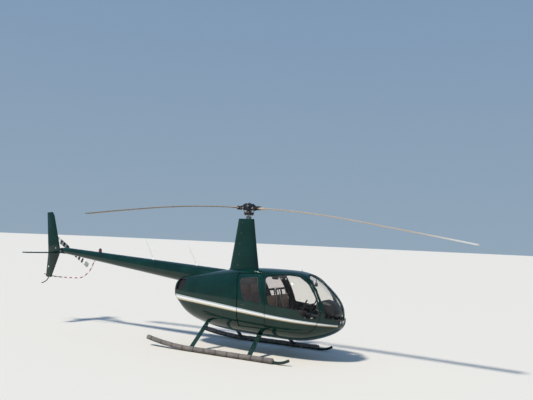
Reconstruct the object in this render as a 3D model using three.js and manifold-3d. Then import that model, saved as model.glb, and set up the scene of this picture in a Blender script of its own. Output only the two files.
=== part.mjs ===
import * as THREE from 'three';
import { mergeVertices } from 'three/addons/utils/BufferGeometryUtils.js';
import Module from 'manifold-3d';

// A four-seat light helicopter on skids, with floats stowed along the skid tubes.
// Millimetres, +X to the nose, +Y to the left side, +Z up, the ground at z = 0.
// Every size below is measured from the rotor mast, which stands at x = MAST_X in the part's frame.

const wasm = await Module();
wasm.setup();

// Driving dimensions

const MAST_X = 850;
const ROTOR_RADIUS = 5030;
const BLADE_CHORD = 254;
const BLADE_THICKNESS = 32;
const TAIL_ROTOR_RADIUS = 737;
const TAIL_ROTOR = { x: -5870, y: 350, z: 1910 };
const SKIN = 25;
const GLASS = 6;
const GLASS_INSET = 3;
const SEAM = 0.5;
const DOOR_GAP = 9;
const DOOR_SILL = 600;
const DOOR_REACH = 150;
const SKID_TRACK = 2120;
const SKID_TUBE = 29;
const SHOE = { thickness: 4, halfWidth: 24, length: 360, front: 980, rear: -420 };
const SKID_HEIGHT = SKID_TUBE + SHOE.thickness;
const FLOOR_TOP = 590;
const FLOOR_THICKNESS = 30;
const FAR = 1500;

// Finishes

function finish(color, roughness, metalness) {
  return { color, roughness, metalness };
}
const GREEN = finish(0x12423a, 0.3, 0.1);
const DARK_METAL = finish(0x2b2d31, 0.5, 0.7);
const BARE_METAL = finish(0x9a9c9c, 0.4, 0.9);
const BLACK = finish(0x15171a, 0.7, 0.0);
const WHITE = finish(0xe8e8e2, 0.4, 0.0);
const BLADE_GREY = finish(0x5a514c, 0.5, 0.2);
const BLADE_SAND = finish(0xcdb9a2, 0.5, 0.2);
const COVER = finish(0x6d625c, 0.9, 0.0);
const LEATHER = finish(0x7a5238, 0.7, 0.0);
const CLEAR = finish(0xa9bcbc, 0.1, 0.0);
const RED = finish(0x8f1f24, 0.4, 0.0);

// Closed shapes

function signedVolume(position, index) {
  const corner = [new THREE.Vector3(), new THREE.Vector3(), new THREE.Vector3()];
  let volume = 0;
  for (let i = 0; i < index.count; i += 3) {
    for (let k = 0; k < 3; k += 1) {
      corner[k].fromBufferAttribute(position, index.getX(i + k));
    }
    volume += corner[0].dot(corner[1].cross(corner[2])) / 6;
  }
  return volume;
}

function solid(geometry) {
  const shape = geometry.clone();
  shape.deleteAttribute('normal');
  shape.deleteAttribute('uv');
  const merged = mergeVertices(shape, 1e-3);
  const triangles = new Uint32Array(merged.index.array);
  if (signedVolume(merged.attributes.position, merged.index) < 0) {
    triangles.reverse();
  }
  const vertices = new Float32Array(merged.attributes.position.array);
  const mesh = new wasm.Mesh({ numProp: 3, vertProperties: vertices, triVerts: triangles });
  return new wasm.Manifold(mesh);
}

function join(first, ...others) {
  return others.reduce((whole, other) => whole.add(other), first);
}

function cut(first, ...others) {
  return others.reduce((whole, other) => whole.subtract(other), first);
}

function box(x, y, z) {
  const shape = new THREE.BoxGeometry(x[1] - x[0], y[1] - y[0], z[1] - z[0]);
  shape.translate((x[0] + x[1]) / 2, (y[0] + y[1]) / 2, (z[0] + z[1]) / 2);
  return solid(shape);
}

// A side outline of [x, z] points, run across the helicopter from y[0] to y[1]
function prism(outline, y = [-FAR, FAR]) {
  const shape = new THREE.Shape(outline.map(([x, z]) => new THREE.Vector2(x, z)));
  const geometry = new THREE.ExtrudeGeometry(shape, { depth: y[1] - y[0], bevelEnabled: false });
  geometry.rotateX(Math.PI / 2);
  geometry.translate(0, y[1], 0);
  return solid(geometry);
}

// A plan outline of [x, y] points, run up from z[0] to z[1]
function plate(outline, z) {
  const shape = new THREE.Shape(outline.map(([x, y]) => new THREE.Vector2(x, y)));
  const geometry = new THREE.ExtrudeGeometry(shape, { depth: z[1] - z[0], bevelEnabled: false });
  geometry.translate(0, 0, z[0]);
  return solid(geometry);
}

// The same outline with every edge moved outwards by a distance, or inwards if it is negative
function grow(outline, distance) {
  const points = outline.map(([x, z]) => new THREE.Vector2(x, z));
  const side = THREE.ShapeUtils.isClockWise(points) ? -1 : 1;
  return points.map((point, i) => {
    const before = point.clone().sub(points.at(i - 1)).normalize();
    const after = points[(i + 1) % points.length].clone().sub(point).normalize();
    const bisector = new THREE.Vector2(before.y + after.y, -before.x - after.x).normalize();
    const reach = (side * distance) / bisector.dot(new THREE.Vector2(before.y, -before.x));
    return [point.x + bisector.x * reach, point.y + bisector.y * reach];
  });
}

// Rings of corners through a list of stations; place(station, c, s) puts the corner at angle (c, s)
function loft(stations, sides, place) {
  const last = stations.length - 1;
  const geometry = new THREE.CylinderGeometry(1, 1, 1, sides, last);
  const position = geometry.attributes.position;
  for (let i = 0; i < position.count; i += 1) {
    const station = stations[Math.round((0.5 - position.getY(i)) * last)];
    position.setXYZ(i, ...place(station, position.getZ(i), position.getX(i)));
  }
  return solid(geometry);
}

// A round or oval pipe along a curve that runs mainly fore and aft, one ring to each point
function pipe(curve, divisions, halfWidth, halfHeight = halfWidth, sides = 12) {
  const points = curve.getPoints(divisions);
  const rings = points.map((point, i) => {
    const before = points[Math.max(i - 1, 0)];
    const after = points[Math.min(i + 1, points.length - 1)];
    const along = after.clone().sub(before).normalize();
    const across = new THREE.Vector3(0, 1, 0).addScaledVector(along, -along.y).normalize();
    return { point, across, up: new THREE.Vector3().crossVectors(along, across) };
  });
  return loft(rings, sides, ({ point, across, up }, c, s) => {
    const corner = point.clone().addScaledVector(across, c * halfWidth);
    return corner.addScaledVector(up, s * halfHeight).toArray();
  });
}

// A round or oval bar between two points; its chord lies as near to +X as it can
function bar(from, to, chord, thickness = chord, sides = 16, chordAtEnd = chord) {
  const start = new THREE.Vector3(...from);
  const along = new THREE.Vector3(...to).sub(start);
  const up = along.clone().normalize();
  const hint = Math.abs(up.x) > 0.9 ? new THREE.Vector3(0, 1, 0) : new THREE.Vector3(1, 0, 0);
  const chordwise = hint.addScaledVector(up, -hint.dot(up)).normalize();
  const across = new THREE.Vector3().crossVectors(up, chordwise);
  const ends = [
    { at: 0, chord, thickness },
    { at: 1, chord: chordAtEnd, thickness: (thickness * chordAtEnd) / chord },
  ];
  return loft(ends, sides, (end, c, s) => {
    const point = start.clone().addScaledVector(along, end.at);
    point.addScaledVector(chordwise, (c * end.chord) / 2);
    point.addScaledVector(across, (s * end.thickness) / 2);
    return point.toArray();
  });
}

// The cabin and engine pod: rounded-box sections from the nose back
// columns: x, half width, bottom, height of the widest point, top

const POD = [
  [2372, 22, 855, 886, 920],
  [2357, 118, 772, 885, 1042],
  [2312, 215, 693, 882, 1172],
  [2200, 322, 606, 876, 1325],
  [2030, 424, 522, 870, 1484],
  [1830, 510, 450, 865, 1628],
  [1600, 575, 396, 862, 1733],
  [1350, 615, 378, 868, 1785],
  [1000, 640, 382, 880, 1800],
  [450, 640, 392, 930, 1800],
  [-50, 615, 412, 978, 1770],
  [-600, 550, 462, 1032, 1692],
  [-1100, 470, 565, 1070, 1612],
  [-1400, 415, 690, 1100, 1562],
  [-1580, 375, 860, 1122, 1520],
  [-1660, 350, 960, 1142, 1480],
  [-1700, 330, 1020, 1170, 1440],
].map(([x, width, bottom, middle, top]) => ({ x, width, bottom, middle, top }));
const POD_SIDES = 32;
const ROUNDNESS_ABOVE = 2 / 2.7;
const ROUNDNESS_BELOW = 2 / 2.4;

// The pod with its whole surface moved inwards by a distance
function pod(inset) {
  const nose = POD[0].x;
  const tail = POD.at(-1).x;
  const centre = (nose + tail) / 2;
  const squeeze = (nose - tail - 2 * inset) / (nose - tail);
  const shrink = (size) => Math.max(size - inset, size * 0.3);
  return loft(POD, POD_SIDES, (station, c, s) => {
    const power = s >= 0 ? ROUNDNESS_ABOVE : ROUNDNESS_BELOW;
    const rise = s >= 0 ? station.top - station.middle : station.middle - station.bottom;
    return [
      centre + (station.x - centre) * squeeze,
      Math.sign(c) * shrink(station.width) * Math.abs(c) ** power,
      station.middle + Math.sign(s) * shrink(rise) * Math.abs(s) ** power,
    ];
  });
}

const podOuter = pod(0);
const podInner = pod(SKIN);
const podClearance = pod(-SEAM);
const shell = cut(podOuter, podInner);
const glassShell = cut(pod(GLASS_INSET), pod(GLASS_INSET + GLASS));

// The tail boom: a cone whose axis climbs to the rear

const BOOM_FRONT = -620;
const BOOM_END = -5750;
const BOOM_WALL = 15;
function boomRadius(x) {
  return 203 + 0.0323 * (x + 1960);
}
function boomAxis(x) {
  return 1610 - 0.0857 * (x + 1960);
}
function boomCone(inset, overrun = 0) {
  const ends = [BOOM_FRONT + overrun, BOOM_END - overrun];
  return loft(ends, 32, (x, c, s) => {
    const radius = boomRadius(x) - inset;
    return [x, c * radius, boomAxis(x) + s * radius];
  });
}
const boomClearance = boomCone(-SEAM, 1);

// Side outlines of the doors and their windows, as [x, z] points

const FRONT_DOOR = [
  [700, 1720], [885, 1120], [900, DOOR_SILL], [1790, DOOR_SILL], [1915, 690], [2020, 850],
  [2045, 1040], [1975, 1270], [1890, 1425], [1735, 1605], [1530, 1735], [1200, 1765],
];
const FRONT_WINDOW = [
  [765, 1640], [800, 1672], [1050, 1712], [1270, 1730], [1500, 1712], [1688, 1608], [1752, 1556],
  [1884, 1392], [1958, 1262], [2020, 1045], [2003, 930], [1940, 882], [1740, 882], [1690, 925],
  [1630, 1020], [1560, 1040], [960, 1095], [935, 1120],
];
const REAR_DOOR = [
  [60, 1685], [640, 1715], [838, 1120], [855, DOOR_SILL], [200, DOOR_SILL], [180, 1180], [165, 1350],
];
const REAR_WINDOW = [
  [160, 1560], [185, 1600], [540, 1643], [590, 1620], [775, 1160], [755, 1122], [350, 1138],
  [315, 1170],
];
// The door tops curl over the roof to DOOR_REACH from the centre line
function doorRange(sign, margin) {
  const inner = DOOR_REACH - margin;
  return sign < 0 ? [-FAR, -inner] : [inner, FAR];
}
// The rear door's rear edge is rebated on the inside and its gap is wider, to swing out past the cowl
const REAR_EDGE = { before: 300, rebate: 26, lip: 8, extraGap: 5 };
function moveRearEdge(distance) {
  return REAR_DOOR.map(([x, z]) => [x < REAR_EDGE.before ? x + distance : x, z]);
}
const rebate = cut(pod(REAR_EDGE.lip), prism(moveRearEdge(REAR_EDGE.rebate)));
const doorClearance = join(...[FRONT_DOOR, moveRearEdge(-REAR_EDGE.extraGap)].flatMap((outline) => (
  [-1, 1].map((sign) => prism(grow(outline, DOOR_GAP), doorRange(sign, DOOR_GAP)))
)));
const fixedShell = cut(shell, doorClearance);

// The windshield runs from its rear edge forward, and down to the nose line

const NOSE_LINE = [[2120, 905], [2290, 885], [2450, 862]];
const WINDSHIELD = [
  [1575, 1900], [1575, 1748], [1735, 1628], [1900, 1462], [2000, 1290], [2075, 1140], [2112, 990],
  ...NOSE_LINE, [2450, 1900],
];
const ROOF_FRONT = 1505;
const CABIN_REAR = -600;
const COWL_TOP = [[CABIN_REAR, 1590], [56, 1700]];

const airframe = new THREE.Group();
const mainRotor = new THREE.Group();
const tailRotor = new THREE.Group();

function part(group, name, shape, look) {
  const mesh = shape.getMesh();
  const geometry = new THREE.BufferGeometry();
  geometry.setAttribute('position', new THREE.BufferAttribute(mesh.vertProperties, 3));
  geometry.setIndex(new THREE.BufferAttribute(mesh.triVerts, 1));
  geometry.computeVertexNormals();
  const built = new THREE.Mesh(geometry, new THREE.MeshStandardMaterial(look));
  built.name = name;
  group.add(built);
}

const RIGHT_HALF = [-FAR, -SEAM / 2];
const LEFT_HALF = [SEAM / 2, FAR];
const SIDES = [
  { name: 'right', sign: -1, half: RIGHT_HALF },
  { name: 'left', sign: 1, half: LEFT_HALF },
];
const ALL_Z = [0, 3000];

// Landing gear: two skid tubes, two arched cross tubes with faired legs, two stowed floats

const CROSS_TUBES = [
  { name: 'front_cross_tube', foot: 780, top: 675, height: 490 },
  { name: 'rear_cross_tube', foot: -670, top: -660, height: 620 },
];
const LEG = { chord: 115, thickness: 46, foot: 35, bend: 420, overlap: 25 };
const CROSS_TUBE_RADIUS = 24;

// With extra, it is the hole that the tube passes through: wider all round, and its legs longer at the top
function crossTube(tube, extra) {
  const legs = SIDES.map(({ sign }) => {
    const foot = new THREE.Vector3(tube.foot, (sign * SKID_TRACK) / 2, LEG.foot);
    const top = new THREE.Vector3(tube.top, sign * (LEG.bend - LEG.overlap), tube.height);
    const climb = top.clone().sub(foot).normalize();
    top.addScaledVector(climb, 10 * extra);
    return bar(foot.toArray(), top.toArray(), LEG.chord + extra, LEG.thickness + extra, 20);
  });
  const reach = LEG.bend + 10 * extra;
  const ends = [-reach, reach].map((y) => [tube.top, y, tube.height]);
  return join(...legs, bar(...ends, 2 * CROSS_TUBE_RADIUS + extra));
}

function skidCurve(y, raise, front) {
  const curve = new THREE.CurvePath();
  const point = (x, z) => new THREE.Vector3(x, y, z + raise);
  curve.add(new THREE.QuadraticBezierCurve3(
    point(-1860, 130 + SKID_HEIGHT), point(-1250, SKID_HEIGHT), point(-640, SKID_HEIGHT),
  ));
  curve.add(new THREE.LineCurve3(point(-640, SKID_HEIGHT), point(front, SKID_HEIGHT)));
  return curve;
}

function skidTube(y, radius) {
  const curve = skidCurve(y, 0, 1400);
  curve.add(new THREE.QuadraticBezierCurve3(
    new THREE.Vector3(1400, y, SKID_HEIGHT),
    new THREE.Vector3(1570, y, SKID_HEIGHT),
    new THREE.Vector3(1692, y, 110),
  ));
  return pipe(curve, 5, radius);
}

// A steel wear shoe under each end of a skid tube's straight run
function shoes(y, extra = 0) {
  const across = [y - SHOE.halfWidth - extra, y + SHOE.halfWidth + extra];
  return [SHOE.front, SHOE.rear].map((end) => (
    box([end - SHOE.length - extra, end + extra], across, [0, SKID_TUBE / 2 + extra])
  ));
}

const FLOAT = { halfWidth: 62, halfHeight: 52, raise: 32, outboard: 22, front: 1365, rear: -1840 };
const floatEnd = box([-2000, FLOAT.rear], [-FAR, FAR], ALL_Z);
const legClearance = join(...CROSS_TUBES.map((tube) => crossTube(tube, 4 * SEAM)));
for (const side of SIDES) {
  const y = (side.sign * SKID_TRACK) / 2;
  part(airframe, `skid_${side.name}`, join(skidTube(y, SKID_TUBE), ...shoes(y)), GREEN);
  const curve = skidCurve(y + side.sign * FLOAT.outboard, FLOAT.raise, FLOAT.front);
  const roll = pipe(curve, 5, FLOAT.halfWidth, FLOAT.halfHeight, 16);
  const bag = cut(roll, skidTube(y, SKID_TUBE + SEAM), ...shoes(y, SEAM), legClearance, floatEnd);
  part(airframe, `float_${side.name}`, bag, COVER);
}
const skidClearance = join(...SIDES.map(({ sign }) => skidTube((sign * SKID_TRACK) / 2, SKID_TUBE + SEAM)));
for (const tube of CROSS_TUBES) {
  part(airframe, tube.name, cut(crossTube(tube, 0), skidClearance), GREEN);
}

// Lower fuselage and nose, the floor with its seat boxes, and the wall behind the seats

const LOWER = [
  [CABIN_REAR, 300], [2450, 300], ...grow(WINDSHIELD, SEAM).slice(7, 10).reverse(),
  [ROOF_FRONT, 904], [ROOF_FRONT, FLOOR_TOP], [CABIN_REAR, FLOOR_TOP],
];
const lower = fixedShell.intersect(prism(LOWER));
part(airframe, 'lower_fuselage', cut(lower, legClearance), GREEN);

const cabinInside = pod(SKIN + SEAM);
const clearOfDoors = pod(SKIN + 12);
const FRONT_SEAT_BOX = [800, 1300];
const REAR_SEAT_BOX = [20, 490];
const SEAT_BOX_TOP = 850;
const SEAT_SIDES = [35, 500];
const FLOOR_FRONT = 2230;
const WALL = { rear: -35, front: -5 };
const floorLevels = [FLOOR_TOP - FLOOR_THICKNESS, FLOOR_TOP];
const floorSlab = box([WALL.front + SEAM, FLOOR_FRONT], [-FAR, FAR], floorLevels);
const seatBoxes = [FRONT_SEAT_BOX, REAR_SEAT_BOX].flatMap((span) => SIDES.map(({ sign }) => {
  const reach = SEAT_SIDES.map((y) => sign * y).sort((a, b) => a - b);
  return box(span, reach, [FLOOR_TOP - 5, SEAT_BOX_TOP]).intersect(clearOfDoors);
}));
part(airframe, 'cabin_floor', join(floorSlab.intersect(cabinInside), ...seatBoxes), BLACK);
const wallSlab = box([WALL.rear, WALL.front], [-FAR, FAR], ALL_Z);
part(airframe, 'rear_cabin_wall', wallSlab.intersect(cabinInside), BLACK);

// Windshield frame, roof, door posts and the two windshield panes

const bow = fixedShell.intersect(prism([
  [ROOF_FRONT + SEAM, 1900], ...WINDSHIELD.slice(0, 8), [ROOF_FRONT + SEAM, 905],
]));
const POST_HALF = 14;
const postRegion = prism([[1560, 1900], ...WINDSHIELD.slice(1)], [-POST_HALF, POST_HALF]);
part(airframe, 'windshield_frame', join(bow, fixedShell.intersect(postRegion)), GREEN);
for (const side of SIDES) {
  const inner = POST_HALF + SEAM;
  const half = side.sign < 0 ? [-FAR, -inner] : [inner, FAR];
  const pane = glassShell.intersect(prism(grow(WINDSHIELD, -SEAM), half));
  part(airframe, `windshield_${side.name}`, pane, CLEAR);
}
const roofRegion = prism([[56.5, 1691], [ROOF_FRONT, 1691], [ROOF_FRONT, 1900], [56.5, 1900]]);
part(airframe, 'roof', fixedShell.intersect(roofRegion), GREEN);
for (const side of SIDES) {
  const postBand = prism([[560, 591], [960, 591], [960, 1690], [560, 1690]], side.half);
  part(airframe, `door_post_${side.name}`, fixedShell.intersect(postBand), GREEN);
}

// Engine bay: a top deck under the mast fairing, and a side cowl on each side with a louvred vent

const deckRegion = prism([...COWL_TOP, [56, 1900], [CABIN_REAR, 1900]]);
part(airframe, 'mast_deck', cut(fixedShell.intersect(deckRegion), boomClearance), GREEN);
const VENT = [[-1645, 1458], [-1345, 1475], [-1390, 1240], [-1665, 1195]];
const COWL_SIDE = [
  [-1800, 300], [CABIN_REAR - SEAM, 300], [CABIN_REAR - SEAM, FLOOR_TOP + SEAM],
  [190, FLOOR_TOP + SEAM], [190, 1180], [150, 1360], [56, 1690],
  [CABIN_REAR - SEAM, 1589], [CABIN_REAR - SEAM, 1900], [-1800, 1900],
];
const BELLY_OPENING = { x: [-1180, -780], y: [-170, 170], z: [300, 750] };
const TAIL_OPENING = { diameter: 300, from: [-1800, 0, 1215], to: [-1600, 0, 1215] };
const bellyHole = box(BELLY_OPENING.x, BELLY_OPENING.y, BELLY_OPENING.z);
const tailHole = bar(TAIL_OPENING.from, TAIL_OPENING.to, TAIL_OPENING.diameter);
const ventHole = prism(VENT);
for (const side of SIDES) {
  const cowl = fixedShell.intersect(prism(COWL_SIDE, side.half));
  const open = cut(cowl, ventHole, bellyHole, tailHole, boomClearance, legClearance);
  part(airframe, `side_cowl_${side.name}`, open, GREEN);
}
const SLOT = { rear: -1625, front: -1410, lowest: 1235, highest: 1450, pitch: 44, height: 26 };
for (const side of SIDES) {
  let louvre = shell.intersect(prism(grow(VENT, -SEAM), side.half));
  for (let z = SLOT.lowest; z < SLOT.highest; z += SLOT.pitch) {
    const top = z + SLOT.height;
    const slot = [[SLOT.rear, z], [SLOT.front, z], [SLOT.front, top], [SLOT.rear, top]];
    louvre = cut(louvre, prism(slot, side.half));
  }
  part(airframe, `vent_louvre_${side.name}`, cut(louvre, boomClearance), BLACK);
}

// Engine as one plain block with the cooling fan's scroll behind it, and the exhaust under it

const ENGINE = { rear: -1130, halfWidth: 270, z: [730, 1230] };
const FAN_SCROLL = { from: [-1470, 0, 1090], to: [-1120, 0, 1090], diameter: 370 };
const engineWidth = [-ENGINE.halfWidth, ENGINE.halfWidth];
const engineBlock = box([ENGINE.rear, WALL.rear - SEAM], engineWidth, ENGINE.z);
const fanScroll = bar(FAN_SCROLL.from, FAN_SCROLL.to, FAN_SCROLL.diameter, FAN_SCROLL.diameter, 24);
part(airframe, 'engine_block', join(engineBlock, fanScroll), DARK_METAL);
const MUFFLER = { from: [-950, -210, 672], to: [-950, 150, 672], diameter: 96 };
const TAIL_PIPE = { from: [-950, 110, 672], to: [-950, 110, 520], diameter: 56 };
const MUFFLER_STUB = { x: [-975, -925], y: [-120, -60], z: [660, 729] };
const muffler = bar(MUFFLER.from, MUFFLER.to, MUFFLER.diameter);
const tailPipe = bar(TAIL_PIPE.from, TAIL_PIPE.to, TAIL_PIPE.diameter);
const mufflerStub = box(MUFFLER_STUB.x, MUFFLER_STUB.y, MUFFLER_STUB.z);
part(airframe, 'exhaust', join(muffler, tailPipe, mufflerStub), BARE_METAL);

// Doors and their windows; each hangs at its front edge

for (const side of SIDES) {
  const doors = [
    { name: 'front', outline: FRONT_DOOR, window: FRONT_WINDOW },
    { name: 'rear', outline: REAR_DOOR, window: REAR_WINDOW },
  ];
  for (const door of doors) {
    const panel = shell.intersect(prism(door.outline, doorRange(side.sign, 0)));
    const opened = cut(panel, prism(door.window));
    const hung = door.name === 'rear' ? cut(opened, rebate) : opened;
    part(airframe, `${door.name}_door_${side.name}`, hung, GREEN);
    const pane = glassShell.intersect(prism(grow(door.window, -SEAM), side.half));
    part(airframe, `${door.name}_window_${side.name}`, pane, CLEAR);
  }
}

// Seats, instrument console and cyclic stick

const FRONT_CUSHION = [800, 1310];
const REAR_CUSHION = [20, 500];
const CUSHION_TOP = 935;
const FRONT_BACK = [[805, 938], [895, 938], [785, 1410], [705, 1410]];
const REAR_BACK = [[25, 938], [145, 938], [90, 1440], [5, 1440]];
// Each front seat back is a pad under an open hoop with a middle post
const HOOP = { opening: [1265, 1365], bar: 28, postHalf: 33 };
const seatMiddle = (SEAT_SIDES[0] + SEAT_SIDES[1]) / 2;
for (const side of SIDES) {
  const reach = SEAT_SIDES.map((y) => side.sign * y).sort((a, b) => a - b);
  const height = [SEAT_BOX_TOP + SEAM, CUSHION_TOP];
  part(airframe, `front_cushion_${side.name}`, box(FRONT_CUSHION, reach, height), LEATHER);
  part(airframe, `rear_cushion_${side.name}`, box(REAR_CUSHION, reach, height), LEATHER);
  const middle = side.sign * seatMiddle;
  const hoopHoles = [
    [reach[0] + HOOP.bar, middle - HOOP.postHalf],
    [middle + HOOP.postHalf, reach[1] - HOOP.bar],
  ];
  const frontBack = cut(
    prism(FRONT_BACK, reach),
    ...hoopHoles.map((hole) => box([FRONT_BACK[3][0] - 50, FRONT_BACK[1][0]], hole, HOOP.opening)),
  );
  part(airframe, `front_seat_back_${side.name}`, frontBack, LEATHER);
  part(airframe, `rear_seat_back_${side.name}`, prism(REAR_BACK, reach), LEATHER);
}
const PEDESTAL = [[1800, FLOOR_TOP + SEAM], [2080, FLOOR_TOP + SEAM], [2100, 1010], [1850, 1010]];
const HOOD = [
  [1840, 1000], [2120, 925], [2275, 925], [2290, 1010], [2245, 1120], [2180, 1205], [1985, 1255],
  [1860, 1200],
];
const PEDESTAL_HALF = 115;
const HOOD_HALF = 205;
const pedestal = prism(PEDESTAL, [-PEDESTAL_HALF, PEDESTAL_HALF]);
const panel = join(pedestal, prism(HOOD, [-HOOD_HALF, HOOD_HALF]));
part(airframe, 'instrument_console', panel.intersect(clearOfDoors), BLACK);
const BOOT = { x: 1660, height: 50, length: 110, width: 90, top: 60 };
const CROSSBAR = { x: 1608, z: 1125, halfLength: 255, diameter: 26 };
const STICK = { foot: [BOOT.x, 0, FLOOR_TOP + 20], top: [CROSSBAR.x, 0, CROSSBAR.z], diameter: 36 };
const GRIP = { y: 250, ends: [[1525, 975], [1660, 1245]], diameter: 34 };
const bootEnds = [FLOOR_TOP + SEAM, FLOOR_TOP + BOOT.height].map((z) => [BOOT.x, 0, z]);
const boot = bar(...bootEnds, BOOT.length, BOOT.width, 12, BOOT.top);
const stick = bar(STICK.foot, STICK.top, STICK.diameter, STICK.diameter, 10);
const crossbarEnds = [-CROSSBAR.halfLength, CROSSBAR.halfLength].map((y) => [CROSSBAR.x, y, CROSSBAR.z]);
const crossbar = bar(...crossbarEnds, CROSSBAR.diameter, CROSSBAR.diameter, 10);
const grips = SIDES.map(({ sign }) => {
  const ends = GRIP.ends.map(([x, z]) => [x, sign * GRIP.y, z]);
  return bar(...ends, GRIP.diameter, GRIP.diameter, 10);
});
part(airframe, 'cyclic_stick', join(boot, stick, crossbar, ...grips), DARK_METAL);

// Mast fairing on the deck and roof, with the fixed mast tube standing out of its top
// columns: height, front, rear, half width

const FAIRING = [
  [2905, 140, -260, 92],
  [2250, 238, -358, 125],
  [1600, 342, -462, 158],
].map(([z, front, rear, width]) => ({ z, front, rear, width }));
const fairing = loft(FAIRING, 32, ({ z, front, rear, width }, c, s) => {
  const length = front - rear;
  const taper = 0.78 + 0.22 * c;
  return [rear + (length * (1 + c)) / 2, s * width * taper, z];
});
part(airframe, 'mast_fairing', cut(fairing, podClearance, boomClearance), GREEN);
const MAST_TUBE = { diameter: 120, top: 2960 };
const mastTubeEnds = [[0, 0, FAIRING[0].z + SEAM], [0, 0, MAST_TUBE.top]];
const mastTube = bar(...mastTubeEnds, MAST_TUBE.diameter, MAST_TUBE.diameter, 24);
part(airframe, 'mast_tube', mastTube, DARK_METAL);

// Main rotor: mast, swashplate, teetering hub and two blades, as parked

const ROTOR_GAP = 6;
const SHAFT = { top: 3180, diameter: 76 };
const SWASHPLATE = { z: [2985, 3050], diameter: 235 };
const HUB = { z: [3095, 3270], length: 120, width: 150 };
const HUB_REACH = 300;
const HUB_BAR = { aft: 3163, fore: 3142, height: 84, width: 100 };
// The forked hub's two cheeks, seen from the side
const CHEEK = [
  [-185, 3130], [-130, 3095], [130, 3090], [185, 3120], [160, 3185], [80, 3250], [-80, 3255], [-160, 3195],
];
const CHEEK_SIDES = [40, 68];
const LINK = { foot: [95, 20, 3040], top: [120, 118, 3150], diameter: 22 };
const HORN = { x: 120, y: [20, 130], z: 3152, width: 40, height: 34 };
const shaft = bar([0, 0, MAST_TUBE.top + ROTOR_GAP], [0, 0, SHAFT.top], SHAFT.diameter, SHAFT.diameter, 20);
const swashplateEnds = SWASHPLATE.z.map((z) => [0, 0, z]);
const swashplate = bar(...swashplateEnds, SWASHPLATE.diameter, SWASHPLATE.diameter, 24);
const hubBarrel = bar(...HUB.z.map((z) => [0, 0, z]), HUB.length, HUB.width, 20);
const hubEnds = [[-HUB_REACH, 0, HUB_BAR.aft], [HUB_REACH, 0, HUB_BAR.fore]];
const hubBar = bar(...hubEnds, HUB_BAR.width, HUB_BAR.height, 16);
// The control parts of the second blade are those of the first turned half round the mast
const links = [-1, 1].map((end) => {
  const turned = ([x, y, z]) => [end * x, end * y, z];
  const hornEnds = HORN.y.map((y) => turned([HORN.x, y, HORN.z]));
  return join(
    bar(turned(LINK.foot), turned(LINK.top), LINK.diameter, LINK.diameter, 10),
    bar(...hornEnds, HORN.width, HORN.height, 10),
  );
});
const cheeks = [CHEEK_SIDES, CHEEK_SIDES.map((y) => -y).reverse()].map((y) => prism(CHEEK, y));
part(mainRotor, 'rotor_head', join(shaft, swashplate, hubBarrel, hubBar, ...cheeks, ...links), DARK_METAL);

// columns: distance from the mast, height, chord
const FORE_BLADE = [
  [HUB_REACH + 3, HUB_BAR.fore, 90], [420, 3136, 150], [620, 3126, BLADE_CHORD], [1120, 3092, BLADE_CHORD],
  [1910, 3008, BLADE_CHORD], [2630, 2906, BLADE_CHORD], [3800, 2720, BLADE_CHORD],
  [ROTOR_RADIUS, 2520, BLADE_CHORD],
];
const AFT_BLADE = [
  [HUB_REACH + 3, HUB_BAR.aft + 1, 90], [420, 3170, 150], [620, 3176, BLADE_CHORD],
  [1120, 3182, BLADE_CHORD], [1700, 3178, BLADE_CHORD], [2580, 3142, BLADE_CHORD],
  [3800, 3055, BLADE_CHORD],
  [ROTOR_RADIUS, 2950, BLADE_CHORD],
];

// The leading edge is on the left of the fore blade and on the right of the aft blade
function rotorBlade(table, end) {
  const stations = table.map(([reach, z, chord]) => ({ reach, z, chord }));
  return loft(stations, 14, ({ reach, z, chord }, c, s) => {
    const chordwise = chord * (0.5 * c - (chord === BLADE_CHORD ? 0.25 : 0));
    const thickness = BLADE_THICKNESS + (BLADE_CHORD - chord) * 0.22;
    return [end * reach, end * chordwise, z + s * (thickness / 2) * (0.65 + 0.35 * c)];
  });
}
part(mainRotor, 'blade_fore', rotorBlade(FORE_BLADE, 1), BLADE_SAND);
part(mainRotor, 'blade_aft', rotorBlade(AFT_BLADE, -1), BLADE_GREY);

// Tail boom, its top aerials and beacon

const boom = cut(boomCone(0), boomCone(BOOM_WALL, 1));
part(airframe, 'tail_boom', boom, GREEN);
const AERIALS = [
  { name: 'aerial_front', foot: [-1370, 0, 1770], tip: [-1650, 0, 2230] },
  { name: 'aerial_rear', foot: [-2690, 0, 1830], tip: [-2980, 0, 2350] },
];
const AERIAL_ROD = { chord: 30, thickness: 22, tip: 14 };
const AERIAL_BASE = { length: 96, width: 40, top: 70, height: 30 };
for (const aerial of AERIALS) {
  const [x, , z] = aerial.foot;
  const rod = bar(aerial.foot, aerial.tip, AERIAL_ROD.chord, AERIAL_ROD.thickness, 10, AERIAL_ROD.tip);
  const baseEnds = [[x, 0, z - 10], [x, 0, z + AERIAL_BASE.height]];
  const base = bar(...baseEnds, AERIAL_BASE.length, AERIAL_BASE.width, 16, AERIAL_BASE.top);
  part(airframe, aerial.name, cut(join(rod, base), boomClearance), WHITE);
}
const BEACON = { x: -4470, diameter: 84, shoulder: 70, top: 100, topDiameter: 44 };
const beaconFoot = boomAxis(BEACON.x) + boomRadius(BEACON.x);
const beaconAt = (height) => [BEACON.x, 0, beaconFoot + height];
const lamp = bar(beaconAt(-30), beaconAt(BEACON.shoulder), BEACON.diameter, BEACON.diameter, 20);
const lampTopEnds = [beaconAt(BEACON.shoulder - 1), beaconAt(BEACON.top)];
const lampTop = bar(...lampTopEnds, BEACON.diameter, BEACON.diameter, 20, BEACON.topDiameter);
part(airframe, 'beacon', cut(join(lamp, lampTop), boomClearance), RED);

// Tail: gearbox on the end of the boom, upright fin, stabilizer, skid and rotor guard

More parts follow.
